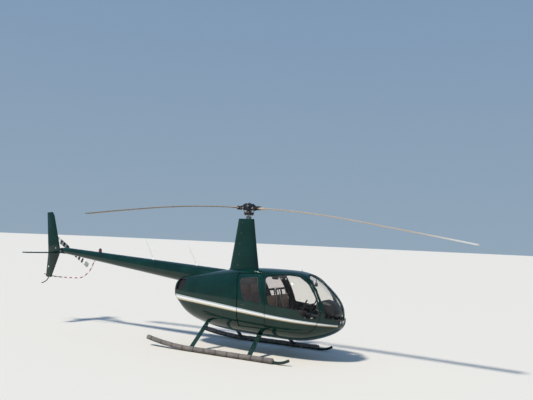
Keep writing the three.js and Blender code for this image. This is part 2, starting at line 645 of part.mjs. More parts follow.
const FIN = { y: [-45, -15] };
const GEARBOX = { rear: -5924, drop: 12, diameter: 150 };
const FIN_MOUNT = { front: -5860, y: [-60, 40], z: [1860, 1985] };
const OUTPUT = { diameter: 96, endDiameter: 64, toRotor: 90 };
const casingHeight = boomAxis(BOOM_END) - GEARBOX.drop;
const casingEnds = [[GEARBOX.rear, 0, casingHeight], [BOOM_END - SEAM, 0, casingHeight]];
const casing = bar(...casingEnds, GEARBOX.diameter, GEARBOX.diameter, 20);
const finMount = box([GEARBOX.rear, FIN_MOUNT.front], FIN_MOUNT.y, FIN_MOUNT.z);
const outputEnds = [0, TAIL_ROTOR.y - OUTPUT.toRotor].map((y) => [TAIL_ROTOR.x, y, TAIL_ROTOR.z]);
const outputHousing = bar(...outputEnds, OUTPUT.diameter, OUTPUT.diameter, 20, OUTPUT.endDiameter);
part(airframe, 'tail_gearbox', join(casing, finMount, outputHousing), DARK_METAL);
const FIN_OUTLINE = [
  [-5925, 1850], [-5925, 1960], [-6000, 2200], [-6225, 2880], [-6300, 2968], [-6488, 2952],
  [-6352, 1870], [-6382, 1205], [-6350, 1188], [-6195, 1190],
];
part(airframe, 'fin', prism(FIN_OUTLINE, FIN.y), GREEN);
const STABILIZER_ROOT = FIN.y[0] - SEAM;
const STABILIZER = [
  [-6030, STABILIZER_ROOT], [-6310, STABILIZER_ROOT], [-6300, -900], [-6260, -985], [-6120, -985],
  [-6085, -940],
];
const STABILIZER_LEVELS = [1845, 1873];
part(airframe, 'stabilizer', plate(STABILIZER, STABILIZER_LEVELS), GREEN);
const TAIL_SKID = [[-6290, -30, 1181], [-6340, -30, 1070], [-6540, -30, 1012]];
const TAIL_SKID_RADIUS = 13;
const tailSkidCurve = new THREE.QuadraticBezierCurve3(...TAIL_SKID.map((p) => new THREE.Vector3(...p)));
const tailSkid = pipe(tailSkidCurve, 6, TAIL_SKID_RADIUS, TAIL_SKID_RADIUS, 10);
part(airframe, 'tail_skid', tailSkid, DARK_METAL);
const GUARD_ROUTE = [
  [-4680, 62, 1742], [-4780, 95, 1640], [-4900, 118, 1462], [-5180, 120, 1250], [-5620, 120, 1208],
  [-6240, 120, 1206], [-6728, 120, 1262],
];
const guardCurve = new THREE.CatmullRomCurve3(GUARD_ROUTE.map((p) => new THREE.Vector3(...p)));
const GUARD_RADIUS = 14;
const GUARD_BRACKET = { x: [-6300, -6262], y: [FIN.y[1] + SEAM, 122], z: [1198, 1218] };
const guardTube = pipe(guardCurve, 20, GUARD_RADIUS, GUARD_RADIUS, 10);
const guardBracket = box(GUARD_BRACKET.x, GUARD_BRACKET.y, GUARD_BRACKET.z);
part(airframe, 'tail_guard', cut(join(guardTube, guardBracket), boomClearance), RED);

// Tail rotor: two blades on a hub, as parked

const TAIL_BLADE = { angle: -29, chord: 128, root: 60, rootReach: 100, fullReach: 190, thickness: 18 };
const TAIL_HUB = { y: [-84, 40], diameter: 60, reach: 120, height: 52 };
const tailHub = join(
  bar(...TAIL_HUB.y.map((y) => [0, y, 0]), TAIL_HUB.diameter, TAIL_HUB.diameter, 18),
  bar([-TAIL_HUB.reach, 0, 0], [TAIL_HUB.reach, 0, 0], TAIL_HUB.diameter, TAIL_HUB.height, 14),
);
const tailBlades = [-1, 1].map((end) => {
  const stations = [
    { reach: TAIL_ROTOR_RADIUS, chord: TAIL_BLADE.chord },
    { reach: TAIL_BLADE.fullReach, chord: TAIL_BLADE.chord },
    { reach: TAIL_BLADE.rootReach, chord: TAIL_BLADE.root },
  ];
  return loft(stations, 12, ({ reach, chord }, c, s) => {
    const thick = (TAIL_BLADE.thickness / 2) * (0.65 + 0.35 * c);
    return [end * reach, s * thick, (end * c * chord) / 2];
  });
});
part(tailRotor, 'tail_rotor', join(tailHub, ...tailBlades), BARE_METAL);
tailRotor.rotation.y = THREE.MathUtils.degToRad(-TAIL_BLADE.angle);
tailRotor.position.set(TAIL_ROTOR.x, TAIL_ROTOR.y, TAIL_ROTOR.z);

const group = new THREE.Group();
group.add(airframe, mainRotor, tailRotor);
group.position.x = MAST_X;

export default group;
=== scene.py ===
import math

import bmesh
import bpy
from mathutils import Matrix, Vector


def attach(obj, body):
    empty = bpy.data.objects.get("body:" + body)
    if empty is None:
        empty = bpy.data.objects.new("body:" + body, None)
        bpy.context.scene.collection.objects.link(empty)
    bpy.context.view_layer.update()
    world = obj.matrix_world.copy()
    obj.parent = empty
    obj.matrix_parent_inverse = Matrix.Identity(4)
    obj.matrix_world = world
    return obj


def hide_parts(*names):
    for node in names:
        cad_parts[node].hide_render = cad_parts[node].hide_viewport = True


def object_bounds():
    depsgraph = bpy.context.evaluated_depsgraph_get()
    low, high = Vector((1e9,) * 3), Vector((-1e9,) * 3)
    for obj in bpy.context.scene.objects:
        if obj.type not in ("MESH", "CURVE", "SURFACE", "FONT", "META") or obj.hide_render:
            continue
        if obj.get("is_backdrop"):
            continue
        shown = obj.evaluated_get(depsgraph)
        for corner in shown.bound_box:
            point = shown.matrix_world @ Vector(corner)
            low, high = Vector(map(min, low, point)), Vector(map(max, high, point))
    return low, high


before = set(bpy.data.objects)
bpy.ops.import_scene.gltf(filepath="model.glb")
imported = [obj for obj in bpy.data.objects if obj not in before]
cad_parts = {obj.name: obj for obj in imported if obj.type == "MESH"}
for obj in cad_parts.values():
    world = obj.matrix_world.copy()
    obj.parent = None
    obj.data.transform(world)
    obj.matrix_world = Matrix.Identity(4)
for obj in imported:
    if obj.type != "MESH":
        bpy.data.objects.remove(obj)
cad_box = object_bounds()

# The place and the view. The helicopter stands on a plain pale floor in soft light, and is seen from off
# its right front quarter, from about the height of its cabin roof, with the camera rolled a little to the
# left.
CAMERA_PLACE = (8.15, -12.08, 2.43)
CAMERA_YAW = math.radians(29.59)
CAMERA_PITCH = math.radians(3.73)
CAMERA_ROLL = math.radians(2.46)
CAMERA_LENS_MM = 42.13
FLOOR_HALF = 400.0
FLOOR_COLOUR = (0.76, 0.71, 0.62, 1.0)
SUN_FROM = Vector((-0.63, -1.63, 2.52))
SKY_HIGH = (0.12, 0.27, 0.56, 1.0)
SKY_LOW = (0.36, 0.48, 0.60, 1.0)

camera_data = bpy.data.cameras.new("camera")
camera_data.lens = CAMERA_LENS_MM
camera_data.clip_end = 2000
camera = bpy.data.objects.new("camera", camera_data)
camera.matrix_world = (
    Matrix.Translation(CAMERA_PLACE)
    @ Matrix.Rotation(CAMERA_YAW, 4, "Z")
    @ Matrix.Rotation(math.pi / 2 + CAMERA_PITCH, 4, "X")
    @ Matrix.Rotation(CAMERA_ROLL, 4, "Z")
)
bpy.context.scene.collection.objects.link(camera)
bpy.context.scene.camera = camera
bpy.context.scene.view_settings.view_transform = "Standard"

sun_data = bpy.data.lights.new("sun", "SUN")
sun_data.energy = 3.6
sun_data.angle = math.radians(6)
sun_data.color = (1.0, 0.96, 0.9)
sun = bpy.data.objects.new("sun", sun_data)
sun.rotation_euler = SUN_FROM.to_track_quat("Z", "Y").to_euler()
bpy.context.scene.collection.objects.link(sun)

world = bpy.data.worlds.new("sky")
bpy.context.scene.world = world
world.use_nodes = True
sky_nodes = world.node_tree.nodes
sky_ramp = sky_nodes.new("ShaderNodeValToRGB")
sky_ramp.color_ramp.elements[0].color = SKY_LOW
sky_ramp.color_ramp.elements[1].color = SKY_HIGH
sky_height = sky_nodes.new("ShaderNodeSeparateXYZ")
sky_place = sky_nodes.new("ShaderNodeTexCoord")
world.node_tree.links.new(sky_place.outputs["Generated"], sky_height.inputs[0])
world.node_tree.links.new(sky_height.outputs["Z"], sky_ramp.inputs["Fac"])
world.node_tree.links.new(sky_ramp.outputs["Color"], sky_nodes["Background"].inputs["Color"])
sky_nodes["Background"].inputs["Strength"].default_value = 0.8

floor_mesh = bmesh.new()
bmesh.ops.create_grid(floor_mesh, x_segments=1, y_segments=1, size=FLOOR_HALF)
floor_data = bpy.data.meshes.new("floor")
floor_mesh.to_mesh(floor_data)
floor_mesh.free()
floor = bpy.data.objects.new("floor", floor_data)
bpy.context.scene.collection.objects.link(floor)
floor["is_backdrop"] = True


# Paint and other finishes. Each is one shader whose colour, gloss and bump follow the place on the piece; a
# Value is a number that varies over a surface, so that a pattern is written as plain arithmetic. In this
# file places are metres with x measured from the rotor mast, which stands at x = MAST_X.
MAST_X = 0.85


class Value:
    def __init__(self, tree, socket):
        self.tree = tree
        self.socket = socket

    def math(self, operation, *others):
        node = self.tree.nodes.new("ShaderNodeMath")
        node.operation = operation
        for slot, value in zip(node.inputs, (self, *others)):
            plug(self.tree, slot, value)
        return Value(self.tree, node.outputs[0])

    def __add__(self, other):
        return self.math("ADD", other)

    def __sub__(self, other):
        return self.math("SUBTRACT", other)

    def __rsub__(self, other):
        return self.math("MULTIPLY_ADD", -1.0, other)

    def __mul__(self, other):
        return self.math("MULTIPLY", other)

    def __truediv__(self, other):
        return self.math("DIVIDE", other)

    def __abs__(self):
        return self.math("ABSOLUTE")

    __radd__ = __add__
    __rmul__ = __mul__


def plug(tree, slot, value):
    if isinstance(value, Value):
        tree.links.new(value.socket, slot)
    else:
        slot.default_value = value


class Finish:
    def __init__(self, name):
        self.material = bpy.data.materials.new(name)
        self.material.use_nodes = True
        self.tree = self.material.node_tree
        self.shader = self.tree.nodes["Principled BSDF"]

    def node(self, kind, settings, inputs, output=0):
        made = self.tree.nodes.new(kind)
        for name, setting in settings.items():
            if name == "stops":
                while len(made.color_ramp.elements) < len(setting):
                    made.color_ramp.elements.new(1.0)
                for element, (place, colour) in zip(made.color_ramp.elements, setting):
                    element.position = place
                    element.color = (*colour, 1.0)
            elif name == "curve":
                line = made.mapping.curves[0]
                while len(line.points) < len(setting):
                    line.points.new(0.5, 0.5)
                for point, (x, y) in zip(line.points, setting):
                    point.location = (x, y)
                made.mapping.update()
            else:
                setattr(made, name, setting)
        for slot, value in inputs.items():
            plug(self.tree, made.inputs[slot], value)
        return Value(self.tree, made.outputs[output])

    def place(self):
        """The place on the piece, with x measured from the rotor mast."""
        here = self.node("ShaderNodeTexCoord", {}, {}, "Object")
        x, y, z = [self.node("ShaderNodeSeparateXYZ", {}, {0: here}, axis) for axis in "XYZ"]
        return x - MAST_X, y, z

    def noise(self, scale, detail=2.0, roughness=0.5, stretch=(1, 1, 1), attribute=None):
        if attribute:
            here = self.node("ShaderNodeAttribute", {"attribute_name": attribute}, {}, "Vector")
        else:
            here = self.node("ShaderNodeTexCoord", {}, {}, "Object")
        stretched = self.node("ShaderNodeMapping", {}, {"Vector": here, "Scale": stretch})
        sizes = {"Vector": stretched, "Scale": scale, "Detail": detail, "Roughness": roughness}
        return self.node("ShaderNodeTexNoise", {}, sizes, "Fac")

    def between(self, value, low, high, at_low=0.0, at_high=1.0):
        """Goes smoothly from at_low to at_high as value goes from low to high."""
        limits = {"Value": value, "From Min": low, "From Max": high, "To Min": at_low, "To Max": at_high}
        return self.node("ShaderNodeMapRange", {"interpolation_type": "SMOOTHSTEP"}, limits)

    def blend(self, share, first, second):
        """A colour from first to second; the colours are linear red, green and blue."""
        ends = {0: share, 6: solid_colour(first), 7: solid_colour(second)}
        return self.node("ShaderNodeMix", {"data_type": "RGBA"}, ends, 2)

    def bump(self, height, distance, strength=1.0):
        raised = {"Height": height, "Distance": distance, "Strength": strength}
        self.set({"Normal": self.node("ShaderNodeBump", {}, raised)})

    def set(self, inputs):
        for slot, value in inputs.items():
            plug(self.tree, self.shader.inputs[slot], value)
        return self


def solid_colour(colour):
    return colour if isinstance(colour, Value) else (*colour, 1.0)


FLOOR = Finish("floor_pale")
FLOOR.set({"Base Color": FLOOR_COLOUR, "Roughness": 0.9})
floor_data.materials.append(FLOOR.material)


# Skids. Each is a straight aluminium tube with its toe bent up and its heel swept up, painted, with a plug
# in each end and two steel wear shoes clamped under the straight run.
SHARP_ANGLE = math.radians(32)
SKID_Y = -1.06
SKID_RADIUS = 0.029
SKID_BOTTOM = 0.033
SHOES = ((0.62, 0.98), (-0.78, -0.42))
SHOE_HALF_WIDTH = 0.024
CLAMP_PLACES = (0.66, 0.94, -0.74, -0.46)


def bow(points, start, middle, end, steps):
    """Adds a bend to a route: the curve from start to end that leaves and arrives towards middle."""
    start, middle, end = Vector(start), Vector(middle), Vector(end)
    for step in range(1, steps + 1):
        t = step / steps
        points.append(start * (1 - t) ** 2 + middle * 2 * t * (1 - t) + end * t ** 2)
    return points


def smooth_route(points, steps):
    """A smooth route through all the points, with so many steps from each to the next."""
    points = [Vector(point) for point in points]
    route = [points[0]]
    for i in range(len(points) - 1):
        before = points[max(i - 1, 0)]
        start, end = points[i], points[i + 1]
        after = points[min(i + 2, len(points) - 1)]
        for step in range(1, steps + 1):
            t = step / steps
            curved = (2 * start + (end - before) * t + (2 * before - 5 * start + 4 * end - after) * t ** 2
                      + (3 * start - before - 3 * end + after) * t ** 3)
            route.append(curved / 2)
    return route


def loft(rings, sides, place, capped=True):
    """One ring of corners to each entry of rings; place(entry, angle) says where a corner is."""
    mesh = bmesh.new()
    cone = {"cap_ends": capped, "cap_tris": False, "segments": sides}
    bmesh.ops.create_cone(mesh, radius1=1, radius2=1, depth=1, **cone)
    upright = [edge for edge in mesh.edges if abs(edge.verts[0].co.z - edge.verts[1].co.z) > 0.5]
    last = len(rings) - 1
    if last > 1:
        bmesh.ops.subdivide_edges(mesh, edges=upright, cuts=last - 1)
    for vertex in mesh.verts:
        ring = rings[round((vertex.co.z + 0.5) * last)]
        vertex.co = place(ring, math.atan2(vertex.co.y, vertex.co.x))
    bmesh.ops.recalc_face_normals(mesh, faces=mesh.faces)
    return mesh


def pipe(route, radius, sides=16, height=None):
    """A pipe along a route; radius is one number, or one to each point. Oval if a height is given."""
    route = [Vector(point) for point in route]
    sizes = radius if isinstance(radius, (list, tuple)) else [radius] * len(route)
    rings = []
    across = None
    for i, point in enumerate(route):
        along = (route[min(i + 1, len(route) - 1)] - route[max(i - 1, 0)]).normalized()
        if across is None:
            hint = Vector((0, 1, 0)) if abs(along.y) < 0.9 else Vector((0, 0, 1))
            across = hint
        across = (across - along * across.dot(along)).normalized()
        rings.append((point, across.copy(), along.cross(across), sizes[i]))
    ratio = height / sizes[0] if height else 1.0

    def place(ring, angle):
        point, side, up, size = ring
        return point + side * size * math.cos(angle) + up * size * ratio * math.sin(angle)

    return loft(rings, sides, place)


def turned(profile, centre, sides, across=False):
    """A part turned about a line along x, or across the helicopter; profile: places along it, radii."""
    centre = Vector(centre)

    def place(ring, angle):
        along, radius = ring
        side, up = radius * math.cos(angle), radius * math.sin(angle)
        return centre + Vector((side, along, up) if across else (along, side, up))

    return loft(profile, sides, place)


def bevelled(mesh, size, angle=math.radians(40), segments=2):
    """Rounds every edge of a closed part that is sharper than the angle."""
    edges = [edge for edge in mesh.edges if edge.calc_face_angle(0) > angle]
    settings = {"affect": "EDGES", "profile": 0.5, "material": -1, "clamp_overlap": True}
    bmesh.ops.bevel(mesh, geom=edges, offset=size, segments=segments, **settings)
    return mesh


def rod(start, end, radius, end_radius=None, sides=20, bevel=0.0):
    """A round bar, or a cone, between two points."""
    start, end = Vector(start), Vector(end)
    mesh = bmesh.new()
    ends = {"radius1": radius, "radius2": radius if end_radius is None else end_radius}
    bmesh.ops.create_cone(mesh, cap_ends=True, segments=sides, depth=(end - start).length, **ends)
    turn = (end - start).to_track_quat("Z", "Y").to_matrix().to_4x4()
    bmesh.ops.transform(mesh, matrix=Matrix.Translation((start + end) / 2) @ turn, verts=mesh.verts)
    return bevelled(mesh, bevel) if bevel else mesh


def block(x, y, z, bevel=0.003):
    """A box between two places along each direction, with rounded edges."""
    mesh = bmesh.new()
    bmesh.ops.create_cube(mesh, size=1)
    bmesh.ops.scale(mesh, vec=(x[1] - x[0], y[1] - y[0], z[1] - z[0]), verts=mesh.verts)
    middle = (sum(x) / 2, sum(y) / 2, sum(z) / 2)
    bmesh.ops.translate(mesh, vec=middle, verts=mesh.verts)
    return bevelled(mesh, bevel) if bevel else mesh


class Piece:
    """A piece put together from parts, each with its own finish. It is built for the right side."""

    def __init__(self, name, left=False):
        self.name = name
        self.left = left
        self.whole = bmesh.new()
        self.looks = []

    def add(self, part, *looks):
        """Takes in a part; a face of material 0 gets the first look, and so on."""
        for look in looks:
            if look not in self.looks:
                self.looks.append(look)
        for face in part.faces:
            face.material_index = self.looks.index(looks[face.material_index])
        carrier = bpy.data.meshes.new("part")
        part.to_mesh(carrier)
        part.free()
        self.whole.from_mesh(carrier)
        bpy.data.meshes.remove(carrier)
        return self

    def done(self, body, stands_for=(), slot=None, angle=SHARP_ANGLE):
        mesh = self.whole
        if self.left:
            bmesh.ops.scale(mesh, vec=(1, -1, 1), verts=mesh.verts)
            bmesh.ops.reverse_faces(mesh, faces=mesh.faces)
        bmesh.ops.translate(mesh, vec=(MAST_X, 0, 0), verts=mesh.verts)
        for face in mesh.faces:
            face.smooth = True
        for edge in mesh.edges:
            edge.smooth = edge.calc_face_angle(0) < angle
        data = bpy.data.meshes.new(self.name)
        mesh.to_mesh(data)
        mesh.free()
        for look in self.looks:
            data.materials.append(look.material)
        made = bpy.data.objects.new(self.name, data)
        bpy.context.scene.collection.objects.link(made)
        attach(made, body)
        if stands_for:
            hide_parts(*stands_for)
        return made


def worn(name, colour, roughness, metallic=0.0, grain=60.0, unevenness=0.25, relief=0.0003, coat=0.0):
    """A plain finish: its colour and gloss vary a little, and its surface has a fine grain."""
    made = Finish(name)
    patches = made.noise(grain / 12, 3.0)
    fine = made.noise(grain, 2.0)
    dark = tuple(channel * (1 - unevenness) for channel in colour)
    light = tuple(min(channel * (1 + unevenness), 1.0) for channel in colour)
    shade = made.between(patches, 0.3, 0.7)
    rough = made.between(patches + fine * 0.5, 0.4, 1.1, roughness * 0.85, min(roughness * 1.2, 1.0))
    made.set({"Base Color": made.blend(shade, dark, light), "Roughness": rough})
    made.set({"Metallic": metallic, "Coat Weight": coat})
    made.bump(fine, relief)
    return made


# The stripe along the cabin, from its tail to its nose: x, lower edge, upper edge
STRIPE = (
    (-1.63, 1.008, 1.118), (-0.89, 0.971, 1.065), (-0.15, 0.922, 1.012), (0.51, 0.871, 0.948),
    (1.11, 0.824, 0.889), (1.66, 0.788, 0.844), (2.04, 0.767, 0.812), (2.34, 0.746, 0.780),
)
GREEN = (0.0026, 0.027, 0.020)
GREEN_DEEP = (0.0018, 0.019, 0.014)
STRIPE_WHITE = (0.82, 0.82, 0.78)
STRIPE_SILVER = (0.42, 0.46, 0.48)
STRIPE_CREAM = (0.60, 0.55, 0.44)
STRIPE_GOLD = (0.17, 0.12, 0.05)
SAND_DUST = (0.42, 0.36, 0.27)

PAINT = Finish("green_paint")
x, y, z = PAINT.place()
length = STRIPE[-1][0] - STRIPE[0][0]
along = (x - STRIPE[0][0]) / length
edges = []
for column in (1, 2):
    line = [((row[0] - STRIPE[0][0]) / length, row[column] - 0.5) for row in STRIPE]
    edges.append(PAINT.node("ShaderNodeFloatCurve", {"curve": line}, {"Value": along}) + 0.5)
low, high = edges
on_length = PAINT.between(along, -0.006, -0.004) * (1 - PAINT.between(along, 0.998, 1.0))
white = PAINT.between(z - low, -0.001, 0.001) * PAINT.between(high - z, -0.001, 0.001) * on_length
gold = PAINT.between(z - low, -0.017, -0.015) * PAINT.between(low - z, 0.001, 0.003) * on_length
cloud = PAINT.noise(3.0, 4.0)
dust = PAINT.between(PAINT.noise(9.0, 6.0, 0.7) - z * 0.45, 0.15, 0.7) * 0.05
green = PAINT.blend(PAINT.between(cloud, 0.3, 0.7), GREEN_DEEP, GREEN)
dusty = PAINT.blend(dust, green, SAND_DUST)
lined = PAINT.blend(gold, dusty, STRIPE_GOLD)
across = (z - low) / (high - low)
cream = PAINT.blend(PAINT.between(across, 0.30, 0.38), STRIPE_CREAM, STRIPE_WHITE)
banded = PAINT.blend(PAINT.between(across, 0.66, 0.72), cream, STRIPE_SILVER)
PAINT.set({"Base Color": PAINT.blend(white, lined, banded)})
PAINT.set({"Roughness": PAINT.between(cloud + dust, 0.2, 1.2, 0.07, 0.30)})
PAINT.set({"Coat Weight": 0.36, "Coat Roughness": 0.03, "Specular IOR Level": 0.22})
PAINT.bump(PAINT.noise(140.0, 1.0), 0.00008)

# name, mirrored
HANDS = (("right", False), ("left", True))
STEEL = worn("worn_steel", (0.35, 0.34, 0.33), 0.42, 0.9, 80.0, 0.3)
RUBBER = worn("black_rubber", (0.018, 0.018, 0.02), 0.75, 0.0, 220.0, 0.3, 0.0004)

for name, left in HANDS:
    skid = Piece(f"{name}_skid_tube", left)
    route = [Vector((-1.86, SKID_Y, 0.130 + SKID_BOTTOM))]
    heel = (-1.25, SKID_Y, SKID_BOTTOM)
    bow(route, route[0], heel, (-0.64, SKID_Y, SKID_BOTTOM), 14)
    for place_x in (0.0, 0.7, 1.4):
        route.append(Vector((place_x, SKID_Y, SKID_BOTTOM)))
    bow(route, route[-1], (1.57, SKID_Y, SKID_BOTTOM), (1.692, SKID_Y, 0.110), 10)
    skid.add(pipe(route, SKID_RADIUS, 24), PAINT)
    for end, inner in ((route[0], route[1]), (route[-1], route[-2])):
        outward = (end - inner).normalized()
        plug_ends = (end - outward * 0.012, end + outward * 0.003)
        skid.add(rod(*plug_ends, SKID_RADIUS + 0.0015, bevel=0.003), RUBBER)
    for shoe in SHOES:
        across = (SKID_Y - SHOE_HALF_WIDTH, SKID_Y + SHOE_HALF_WIDTH)
        skid.add(block(shoe, across, (0.0, 0.011), 0.004), STEEL)
    for place_x in CLAMP_PLACES:
        start = Vector((place_x - 0.011, SKID_Y, SKID_BOTTOM))
        end = start + Vector((0.022, 0, 0))
        skid.add(rod(start, end, SKID_RADIUS + 0.003, sides=24, bevel=0.001), STEEL)
    skid.done("airframe", [f"skid_{name}"], "body_paint")


# Floats. Each is a long rubber bag folded along its skid tube inside a laced fabric cover, grey-brown,
# drawn in under webbing straps, so that it bulges between them.
FLOAT_Y = SKID_Y - 0.022
FLOAT_RAISE = 0.032
FLOAT_HALF = (0.060, 0.050)
FLOAT_ENDS = (-1.835, 1.362)
STRAP_PITCH = 0.285
STRAP_FIRST = -1.70
COVER_BROWN = (0.20, 0.17, 0.15)
COVER_DARK = (0.12, 0.105, 0.095)

COVER = Finish("float_cover")
x, y, z = COVER.place()
weave = abs((x * 900).math("SINE")) * abs((z * 900).math("SINE"))
stain = COVER.noise(6.0, 5.0, 0.6)
COVER.set({"Base Color": COVER.blend(COVER.between(stain, 0.3, 0.7), COVER_DARK, COVER_BROWN)})
COVER.set({"Roughness": COVER.between(stain, 0.2, 0.8, 0.75, 0.95), "Sheen Weight": 0.15})
COVER.bump(COVER.noise(18.0, 5.0, 0.6) + weave * 0.05, 0.006)
WEBBING = worn("grey_webbing", (0.06, 0.055, 0.05), 0.9, 0.0, 300.0, 0.35, 0.0008)


def skid_height(x):
    """How high the skid tube's middle is at x, on its straight run and its swept heel."""
    if x > -0.64:
        return SKID_BOTTOM
    t = 1 - (x + 1.86) / 1.22
    return SKID_BOTTOM + 0.130 * max(t, 0.0) ** 2


straps = []
place_x = STRAP_FIRST
while place_x < FLOAT_ENDS[1]:
    straps.append(place_x)
    place_x += STRAP_PITCH
for name, left in HANDS:
    rings = []
    steps = 150
    for i in range(steps + 1):
        x = FLOAT_ENDS[0] + (FLOAT_ENDS[1] - FLOAT_ENDS[0]) * i / steps
        nearest = min(abs(x - strap) for strap in straps)
        pinch = 0.005 * math.exp(-(nearest / 0.035) ** 2)
        from_end = min(x - FLOAT_ENDS[0], FLOAT_ENDS[1] - x)
        closing = math.sqrt(max(1 - (1 - min(from_end / 0.018, 1.0)) ** 2, 0.36))
        rings.append((x, pinch, closing))

    def float_corner(ring, angle):
        x, pinch, closing = ring
        fold = 0.0022 * math.sin(7 * angle + 9 * x) * math.sin(31 * x + 2 * angle)
        lace = -0.005 * math.exp(-((abs(angle) - 2.6) / 0.16) ** 2)
        wide = (FLOAT_HALF[0] - pinch + fold + lace) * closing
        tall = (FLOAT_HALF[1] - pinch + fold + lace) * closing
        middle = skid_height(x) + FLOAT_RAISE
        return Vector((x, FLOAT_Y + wide * math.cos(angle), middle + tall * math.sin(angle)))

    bag = Piece(f"{name}_float_cover", left)
    bag.add(loft(rings, 40, float_corner), COVER)
    for strap in straps:
        middle = skid_height(strap) + FLOAT_RAISE
        band = [Vector((strap + dx, FLOAT_Y, middle)) for dx in (-0.012, 0.012)]
        bag.add(pipe(band, FLOAT_HALF[0] - 0.0035, 40, FLOAT_HALF[1] - 0.0035), WEBBING)
    bag.done("airframe", [f"float_{name}"], "float_cover")


# Cross tubes and legs. Each cross tube is a steel tube arched under the cabin; outside the belly each leg
# wears a painted streamlined fairing, ends in a saddle clamped round the skid tube, and passes a rubber
# collar.
LEG_CHORD = 0.115
LEG_THICKNESS = 0.044
# name, foot x, top x, top height, where the belly meets the leg as a share of its length
CROSS_TUBES = (("front", 0.780, 0.675, 0.490, 0.80), ("rear", -0.670, -0.660, 0.620, 0.76))
for name, foot_x, top_x, top_z, collar in CROSS_TUBES:
    tube = Piece(f"{name}_cross_tube_and_legs")
    tube.add(rod((top_x, -0.42, top_z), (top_x, 0.42, top_z), 0.024, bevel=0.002), PAINT)
    for side in (-1, 1):
        foot = Vector((foot_x, side * 1.06, 0.050))
        top = Vector((top_x, side * 0.395, top_z))
        climb = (top - foot).normalized()
        chordwise = (Vector((1, 0, 0)) - climb * climb.x).normalized()
        thick = climb.cross(chordwise)

        def leg_corner(share, angle):
            back = (1 - math.cos(angle)) / 2
            half = 2.6 * (0.2969 * math.sqrt(back) - 0.126 * back - 0.3516 * back ** 2 + 0.2843 * back ** 3
                          - 0.1015 * back ** 4)
            forward = LEG_CHORD * (0.42 - back)
            out = LEG_THICKNESS / 2 * half * 1.28 * (1 if angle > 0 else -1)
            return foot + (top - foot) * share + chordwise * forward + thick * out

        tube.add(loft([i / 6 for i in range(7)], 36, leg_corner), PAINT)
        ring = foot + (top - foot) * collar
        at_collar = [ring - climb * 0.012, ring + climb * 0.012]
        tube.add(pipe(at_collar, 0.030, 32, 0.064), RUBBER)
        saddle = Vector((foot_x, side * 1.06, SKID_BOTTOM))
        reach = Vector((0.075, 0, 0))
        tube.add(rod(saddle - reach, saddle + reach, SKID_RADIUS + 0.0038, sides=28, bevel=0.003), PAINT)
        for place_x in (-0.055, 0.055):
            bolt = saddle + Vector((place_x, 0, 0.030))
            tube.add(rod(bolt, bolt + Vector((0, 0, 0.014)), 0.007, sides=6, bevel=0.001), STEEL)
    tube.done("airframe", [f"{name}_cross_tube"], "body_paint")


# Lower fuselage. The belly and nose are painted aluminium and glass fibre skins, riveted to frames, with
# two landing lamps behind a clear cover in the nose.
# The pod's sections: x, half width, bottom, height of the widest point, top
POD = (
    (2.376, 0.0004, 0.8852, 0.8860, 0.8868), (2.372, 0.022, 0.855, 0.886, 0.920),
    (2.357, 0.118, 0.772, 0.885, 1.042), (2.312, 0.215, 0.693, 0.882, 1.172),
    (2.200, 0.322, 0.606, 0.876, 1.325), (2.030, 0.424, 0.522, 0.870, 1.484),
    (1.830, 0.510, 0.450, 0.865, 1.628), (1.600, 0.575, 0.396, 0.862, 1.733),
    (1.350, 0.615, 0.378, 0.868, 1.785), (1.000, 0.640, 0.382, 0.880, 1.800),
    (0.450, 0.640, 0.392, 0.930, 1.800), (-0.050, 0.615, 0.412, 0.978, 1.770),
    (-0.600, 0.550, 0.462, 1.032, 1.692), (-1.100, 0.470, 0.565, 1.070, 1.612),
    (-1.400, 0.415, 0.690, 1.100, 1.562), (-1.580, 0.375, 0.860, 1.122, 1.520),
    (-1.660, 0.350, 0.960, 1.142, 1.480), (-1.700, 0.330, 1.020, 1.170, 1.440),
)
ROUNDNESS = {"above": 2 / 2.7, "below": 2 / 2.4}
POD_SIDES = 104
POD_STEPS = 8
SKIN = 0.022
NOSE_LINE = [(2.120, 0.905), (2.290, 0.885), (2.450, 0.862)]
CABIN_REAR = -0.600
ROOF_FRONT = 1.505
SILL = 0.600
DOOR_GAP = 0.009
# Door outlines seen from the side: x, height, corner radius
FRONT_DOOR = (
    (0.700, 1.720, 0.05), (0.885, 1.120, 0.20), (0.900, SILL, 0.03), (1.790, SILL, 0.10),
    (1.915, 0.690, 0.12), (2.020, 0.850, 0.15), (2.045, 1.040, 0.20), (1.975, 1.270, 0.25),
    (1.890, 1.425, 0.25), (1.735, 1.605, 0.25), (1.530, 1.735, 0.20), (1.200, 1.765, 0.60),
)
REAR_DOOR = (
    (0.060, 1.685, 0.04), (0.640, 1.715, 0.05), (0.838, 1.120, 0.20), (0.855, SILL, 0.03),
    (0.200, SILL, 0.03), (0.180, 1.180, 0.30), (0.165, 1.350, 0.30),
)


def pod_rings(inset):
    """The sections with smooth ones between them, all moved inwards by the inset."""
    route = smooth_route([row[:3] for row in POD], POD_STEPS)
    other = smooth_route([(row[0], row[3], row[4]) for row in POD], POD_STEPS)
    nose, tail = POD[0][0], POD[-1][0]
    squeeze = (nose - tail - 2 * inset) / (nose - tail)
    rings = []
    for (x, half, bottom), (_, middle, top) in zip(route, other):
        sizes = [max(size - inset, size * 0.3) for size in (half, top - middle, middle - bottom)]
        rings.append(((nose + tail) / 2 + (x - (nose + tail) / 2) * squeeze, middle, *sizes))
    return rings


def pod_corner(ring, angle):
    x, middle, half, above, below = ring
    side, up = math.cos(angle), math.sin(angle)
    power = ROUNDNESS["above" if up >= 0 else "below"]
    rise = above if up >= 0 else below
    out = math.copysign(abs(side) ** power, side) * half
    return Vector((x, out, middle + math.copysign(abs(up) ** power, up) * rise))


